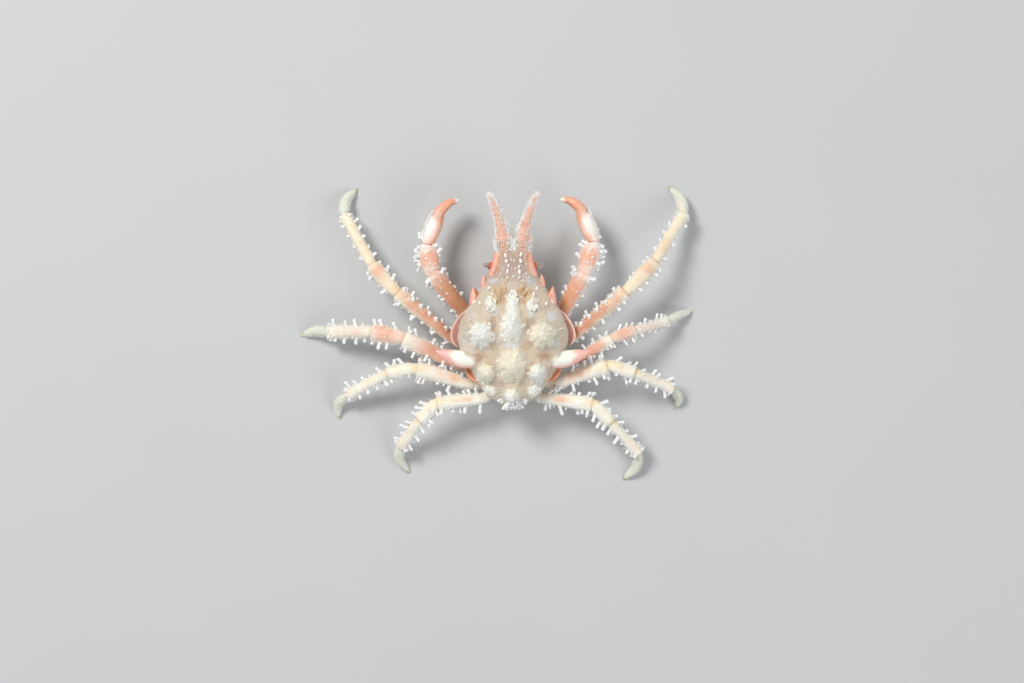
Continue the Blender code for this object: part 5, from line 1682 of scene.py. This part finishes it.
def limb_grains(limb, rng):
    """Small white grains over a limb, thickest near the joints and on the walking claw."""
    amounts = {"merus": 90, "carpus": 60, "propodus": 330 if limb.pair == "leg2" else 110, "dactylus": 190}
    for index, kind in enumerate(limb.kinds):
        tip = kind == "dactylus"
        for _ in range(int(amounts.get(kind, 0) * (0.6 + 0.4 * limb.size))):
            place = rng.uniform(0.28 if kind == "merus" else 0.04, 0.84 if tip else 0.95)
            if not tip and rng.random() < 0.5:
                place = 0.97 - abs(rng.gauss(0, 0.06))
            bearing = rng.uniform(0, 360)
            if rng.random() < 0.35:
                bearing = rng.choice((0, 180)) + rng.gauss(0, 14)
            radius = rng.uniform(0.04, 0.085) if tip else rng.uniform(0.05, 0.13)
            root = limb.root(index + place, bearing, 0.0, 0.4, radius * rng.uniform(1.0, 2.2), radius)
            if root.foot[2] >= 0.35:
                yield root
    if limb.pair == "claw":
        for place, bearing, size in CLAW_DOTS:
            yield limb.root(place, bearing, 0.06, 0.6, 0.45 * size, 0.27 * size)
        for k in range(44):
            place, bearing = 2.06 + 0.9 * k / 44, 166 + rng.uniform(-12, 12)
            yield limb.root(place, bearing, 0.04, 0.5, rng.uniform(0.16, 0.28), 0.1)
    else:
        inner = 0 if limb.pair == "leg1" else 180
        for k in range(28):
            place, bearing = 3.14 + 0.72 * k / 28, inner + rng.uniform(-6, 6)
            yield limb.root(place, bearing, 0.03, 0.6, rng.uniform(0.2, 0.28), 0.07)


# What grows on the body


def landing(tree, x, y):
    """The point of the shell below a place in plan, and the way out of the shell there."""
    point, normal, _, _ = tree.ray_cast(Vector((x, y, ABOVE)), -UP)
    return point, normal


def body_patch(point):
    """The place of a point on an unwrap of the carapace round its length."""
    return (0.5 + math.atan2(point[0], point[2] - 6) / (2 * math.pi), 0.05 + (point[1] + 2) / 42)


def shell_root(point, way, length, radius, bend=(0.0, 0.0, 0.0), foot=None):
    """A root at a point of the shell, or at a foot a little aside of it."""
    return Root(point if foot is None else foot, way, length, radius, body_patch(point), bend)


def boss_scales(tree, rng, straw):
    """Pale scales that radiate from the crest of each straw-coloured boss, or of each whiter one."""
    for boss in boss_places():
        _, bx, by, across, along, height, aside, ahead, scales = boss
        for k in range(scales if is_straw(boss) == straw else 0):
            spread = math.sqrt((k + 0.5) / scales)
            turn = k * math.pi * (3 - math.sqrt(5)) + rng.uniform(-0.25, 0.25)
            lobe = 0.74 + 0.1 * math.cos(5 * turn + bx) + 0.06 * math.cos(9 * turn + by)
            x = bx + aside * height + across * spread * lobe * math.cos(turn)
            y = by + ahead * height + along * spread * lobe * math.sin(turn)
            point, normal = landing(tree, x, y)
            if point is None:
                continue
            away = Vector((math.cos(turn), math.sin(turn), 0))
            way = normal * (1.1 - 0.4 * spread) + away * (0.1 + 0.6 * spread ** 2) + UP * 0.1
            radius = rng.uniform(0.24, 0.42) * (1.1 - 0.35 * spread)
            length = 0.26 + 0.2 * spread ** 2
            foot = point - normal * length * (0.8 - 0.14 * spread)
            yield shell_root(point, way, length, radius, foot=foot)


class Lawn:
    """The surface of a piece, with random points on it, thicker where its cover is said to be."""

    def __init__(self, piece, cover):
        mesh = piece.data
        mesh.calc_loop_triangles()
        corners = np.empty(len(mesh.loop_triangles) * 3, dtype=np.int32)
        mesh.loop_triangles.foreach_get("vertices", corners)
        self.corners = corners.reshape(-1, 3)
        self.points = coords(mesh)
        self.normals = outward(mesh)
        a, b, c = (self.points[self.corners[:, k]] for k in range(3))
        area = np.linalg.norm(np.cross(b - a, c - a), axis=1)
        weight = area * np.clip(cover, 0, 1)[self.corners].mean(axis=1)
        self.ladder = np.cumsum(weight) / weight.sum()

    def spots(self, rng, count):
        for _ in range(count):
            rung = int(np.searchsorted(self.ladder, rng.random()))
            corners = self.corners[min(rung, len(self.corners) - 1)]
            u, v = rng.random(), rng.random()
            if u + v > 1:
                u, v = 1 - u, 1 - v
            shares = np.array([1 - u - v, u, v])
            point, normal = shares @ self.points[corners], shares @ self.normals[corners]
            yield Vector(point), Vector(normal).normalized()


def specks(lawn, rng, count, radii, heights, lift):
    """Fine pale grains all over a piece."""
    for point, normal in lawn.spots(rng, count):
        radius = rng.uniform(*radii)
        yield shell_root(point, normal + UP * lift, radius * rng.uniform(*heights), radius)


def large_grains(tree, rng):
    """The larger white grains of the brow, and in rows below the edge of the shell."""
    for x, y, long, wide in BROW_GRAINS:
        for side in SIDES.values():
            point, normal = landing(tree, x * side + rng.uniform(-0.12, 0.12), y + rng.uniform(-0.15, 0.15))
            ahead = rng.choice((-0.8, 0.9))
            way = normal * 0.4 + Vector((rng.uniform(-0.3, 0.3), ahead, 0.1))
            foot = point + normal * 0.06 - Vector((0, ahead, 0)) * long * 0.4
            yield shell_root(point, way, long * rng.uniform(0.9, 1.1), wide, foot=foot)
    for line, count, wide in SIDE_ROWS:
        for side in SIDES.values():
            for x, y, z in smooth_path(line, count):
                aim = Vector((x * side, y + rng.uniform(-0.35, 0.35), z + rng.uniform(-0.3, 0.3)))
                point, normal, _, _ = tree.find_nearest(aim)
                radius = wide * rng.uniform(0.5, 1.2)
                long = radius * rng.uniform(1.2, 2.0)
                yield shell_root(point, normal, long, radius, foot=point - normal * 0.05)


def hind_fringe(tree, rng):
    """The fan of glassy clubs at the hind end."""
    middle = Vector((0, 1.2, 9.4))
    for lift, long, turns in HIND_FRINGE:
        for bearing in turns:
            turn = math.radians(bearing + rng.uniform(-2, 2))
            out = Vector((math.sin(turn), -math.cos(turn), lift + rng.uniform(-0.06, 0.06)))
            point = tree.ray_cast(middle + out * 8, -out)[0]
            sway = (rng.uniform(-0.06, 0.06), rng.uniform(-0.06, 0.06), rng.uniform(-0.15, 0.05))
            foot = point - out.normalized() * 0.15
            yield shell_root(point, out, long * rng.uniform(0.85, 1.1), rng.uniform(0.27, 0.33), sway, foot)


def hooked_setae(tree, rng):
    """Long yellowish bristles that arch over the brow on each side of the middle ridge."""
    for side in SIDES.values():
        for (x, y), (tip_x, tip_y) in HOOKED_SETAE:
            point, _ = landing(tree, x * side + rng.uniform(-0.1, 0.1), y + rng.uniform(-0.1, 0.1))
            reach = Vector(((tip_x - x) * side, tip_y - y, 0))
            bow = Vector((side, 0.25, 0)) * 0.16 * reach.length
            way = reach * 0.55 + UP * 0.8 * reach.length + bow
            bend = (reach * 0.65 - UP * 0.6 * reach.length - bow * 1.5) / way.length
            yield shell_root(point, way, way.length * rng.uniform(0.95, 1.15), 0.095, bend)


def tangled_setae(tree, rng):
    """A few pale curved bristles on the outer slope of each branchial region."""
    for side in SIDES.values():
        for _ in range(TANGLED_SETAE):
            x, y = rng.uniform(6.6, 8.3), rng.uniform(10.0, 14.0)
            point, normal = landing(tree, x * side, y)
            if point is None:
                continue
            turn = rng.uniform(0, 2 * math.pi)
            lean = Vector((math.cos(turn), math.sin(turn), 0)) * rng.uniform(0.2, 0.8)
            bend = (rng.uniform(-0.7, 0.7), rng.uniform(-0.7, 0.7), -0.3)
            yield shell_root(point, normal + lean, rng.uniform(0.5, 1.1), rng.uniform(0.04, 0.06), bend)


def pile(lawn, rng, count):
    """The velvet of very short hairs over the shell."""
    for point, normal in lawn.spots(rng, count):
        lean = Vector((rng.uniform(-0.5, 0.5), rng.uniform(-0.3, 0.7), 0))
        length = rng.uniform(0.16, 0.34)
        yield shell_root(point, normal + lean, length, 0.028, (0, rng.uniform(-0.3, 0.3), -0.1))


def rostral_root(course, side, share, bearing, lean, length, radius, bend=(0.0, 0.0, 0.0)):
    """A root on a rostral spine at a bearing of 0 outer, 90 top, 180 inner, leaning to the spine's tip."""
    turn = math.radians(bearing)
    middle, across, above, way = course.ways_at(1 + share)
    out = across * -side * math.cos(turn) + above * 0.85 * math.sin(turn)
    foot = middle + out * rostral_width(share) * 0.96
    patch = (0.05 + 0.9 * max(share, 0), (bearing % 360) / 360)
    return Root(foot, out + way * lean, length, radius, patch, bend)


def rostral_spinules(course, rng, side):
    """The spinules along a rostral spine, thickest on its inner edge and at its tip."""
    for _ in range(ROSTRAL_SPINULES):
        share = rng.uniform(-0.8, 0.99)
        edge = rng.choice((0, 180, 180))
        lift = abs(rng.gauss(0, 30)) if rng.random() < 0.8 else -abs(rng.gauss(0, 30))
        bearing = edge + (lift if edge == 0 else -lift)
        margin = max(1 - abs(lift) / 60, 0.25)
        length = rng.uniform(0.2, 0.42) * margin * (1.6 if edge else 0.95) * (1 - 0.3 * max(share, 0))
        radius = rng.uniform(0.065, 0.12)
        yield rostral_root(course, side, share, bearing, rng.uniform(0.1, 0.8), length, radius)


def rostral_bristles(course, rng, side):
    """The short bristles along a rostral spine."""
    for _ in range(ROSTRAL_BRISTLES):
        share = rng.uniform(-0.1, 0.9) ** 2 if rng.random() < 0.6 else rng.uniform(0, 0.95)
        bearing = rng.gauss(180, 22) if rng.random() < 0.9 else rng.gauss(0, 25)
        bend = [rng.uniform(-0.7, 0.7) for _ in range(3)]
        length = rng.uniform(0.45, 0.85)
        yield rostral_root(course, side, share, bearing, rng.uniform(0.2, 1.2), length, 0.075, bend)


def rostral_crown(course, rng):
    """The spinules round the tip of a rostral spine."""
    tip, way = course.points[-1], course.ways[-1]
    for k in range(5):
        turn = 2 * math.pi * k / 5
        out = course.across[-1] * math.cos(turn) + course.above[-1] * math.sin(turn)
        yield Root(tip - way * 0.3, way + out * 0.5, rng.uniform(0.35, 0.55), 0.1, (0.97, k / 5))


# Making the crab


def build_body(rng):
    carapace, cover, crest = build_carapace()
    tree, lawn, knobs = search_tree(carapace), Lawn(carapace, cover), Lawn(carapace, crest)
    coats = (
        ("boss_scales", SCALE, boss_scales(tree, rng, False), "cream_scale"),
        ("straw_scales", SCALE, boss_scales(tree, rng, True), "straw_scale"),
        ("frost_grains", SPECK, specks(lawn, rng, FROST_GRAINS, (0.035, 0.075), (0.8, 1.6), 0.2), "frost"),
        ("large_grains", SCALE, large_grains(tree, rng), "white_grain"),
        ("hind_fringe", CLUB, hind_fringe(tree, rng), "tubercle"),
        ("hooked_setae", SETA, hooked_setae(tree, rng), "yellow_seta"),
        ("tangled_setae", SETA, tangled_setae(tree, rng), "pile"),
        ("velvet_pile", HAIR, pile(lawn, rng, PILE_HAIRS), "pile"),
        ("boss_velvet", HAIR, pile(knobs, rng, BOSS_HAIRS), "cream_seta"),
    )
    for name, form, roots, look in coats:
        grow(name, form, roots, LOOKS[look], rng)
    finish_piece(carapace, LOOKS["carapace"], ["carapace"])
    build_sternum()
    build_pleon()
    build_inner_wall()
    build_face()
    for side_name, side in SIDES.items():
        for name in PLATES:
            make_plate(name, side_name, side)
        make_lateral_spine(side_name, side)
        horn, course = build_rostral_spine(side_name, side)
        finish_piece(horn, LOOKS["rostral"], [f"rostral_spine_{side_name}"])
        spinules = list(rostral_spinules(course, rng, side))
        bristles = list(rostral_bristles(course, rng, side))
        spinules += rostral_crown(course, rng)
        grow(f"rostral_spinules_{side_name}", SPINULE, spinules, LOOKS["white_grain"], rng)
        grow(f"rostral_bristles_{side_name}", HAIR, bristles, LOOKS["pile"], rng)
        build_eye(side_name, side)
        build_antenna(side_name, side)
        build_maxilliped(side_name, side)


def build_limbs(rng):
    limbs = [Limb(pair, side_name) for side_name in SIDES for pair in COXA_AT]
    skins = {limb.name: build_limb_skin(limb) for limb in limbs}
    trees = {name: search_tree(skin) for name, skin in skins.items()}
    for limb in limbs:
        others = [tree for name, tree in trees.items() if name != limb.name]
        look = LOOKS[limb.pair]
        grow(f"{limb.name}_tubercles", CLUB, limb_clubs(limb, others, rng), LOOKS["tubercle"], rng)
        grow(f"{limb.name}_grains", GRAIN, limb_grains(limb, rng), LOOKS["white_grain"], rng)
        finish_piece(skins[limb.name], look, [f"{limb.name}_{kind}" for kind in limb.kinds[:-1]])
        if limb.pair == "claw":
            hand, finger = build_hand(limb)
            finish_piece(hand, look, [f"{limb.name}_palm"])
            finish_piece(finger, look, [f"{limb.name}_finger"])
        else:
            body, tip = build_walking_claw(limb)
            finish_piece(body, LOOKS["tip_shell"], [f"{limb.name}_dactylus"])
            finish_piece(tip, LOOKS["amber"])


def set_camera():
    """A camera straight above the crab, with its front towards the top of the picture."""
    lens = bpy.data.cameras.new("camera")
    lens.lens = 100.0
    lens.sensor_width = 36.0
    lens.clip_start = 0.01
    camera = bpy.data.objects.new("camera", lens)
    camera.location = (-1 / 6 * MM + PLACE[0], 9.75 * MM + PLACE[1], 482.07 * MM)
    bpy.context.scene.collection.objects.link(camera)
    bpy.context.scene.camera = camera


def add_light(name, place, size, power, colour):
    lamp = bpy.data.lights.new(name, "AREA")
    lamp.shape = "DISK"
    lamp.size = size
    lamp.energy = power
    lamp.color = colour
    light = bpy.data.objects.new(name, lamp)
    light.location = place
    light.rotation_mode = "QUATERNION"
    light.rotation_quaternion = (-Vector(place)).to_track_quat("-Z", "Y")
    bpy.context.scene.collection.objects.link(light)


def set_studio():
    world = bpy.data.worlds.new("studio")
    world.use_nodes = True
    background = world.node_tree.nodes["Background"]
    background.inputs["Color"].default_value = (1.0, 1.0, 1.0, 1.0)
    background.inputs["Strength"].default_value = WORLD_LIGHT
    bpy.context.scene.world = world
    add_light("key", (-0.26, 0.26, 0.49), 0.2, 2.5, (1.0, 0.98, 0.95))
    add_light("fill", (0.38, -0.24, 0.4), 0.4, 1.0, (0.95, 0.98, 1.0))
    bpy.ops.object.select_all(action="DESELECT")
    bpy.ops.mesh.primitive_plane_add(size=4.0, location=(0, 0, 0))
    floor = bpy.context.object
    floor.name = "floor"
    floor.data.materials.append(LOOKS["floor"])
    bpy.context.scene.view_settings.view_transform = "Standard"


set_camera()
set_studio()
build_body(random.Random(11))
build_limbs(random.Random(23))
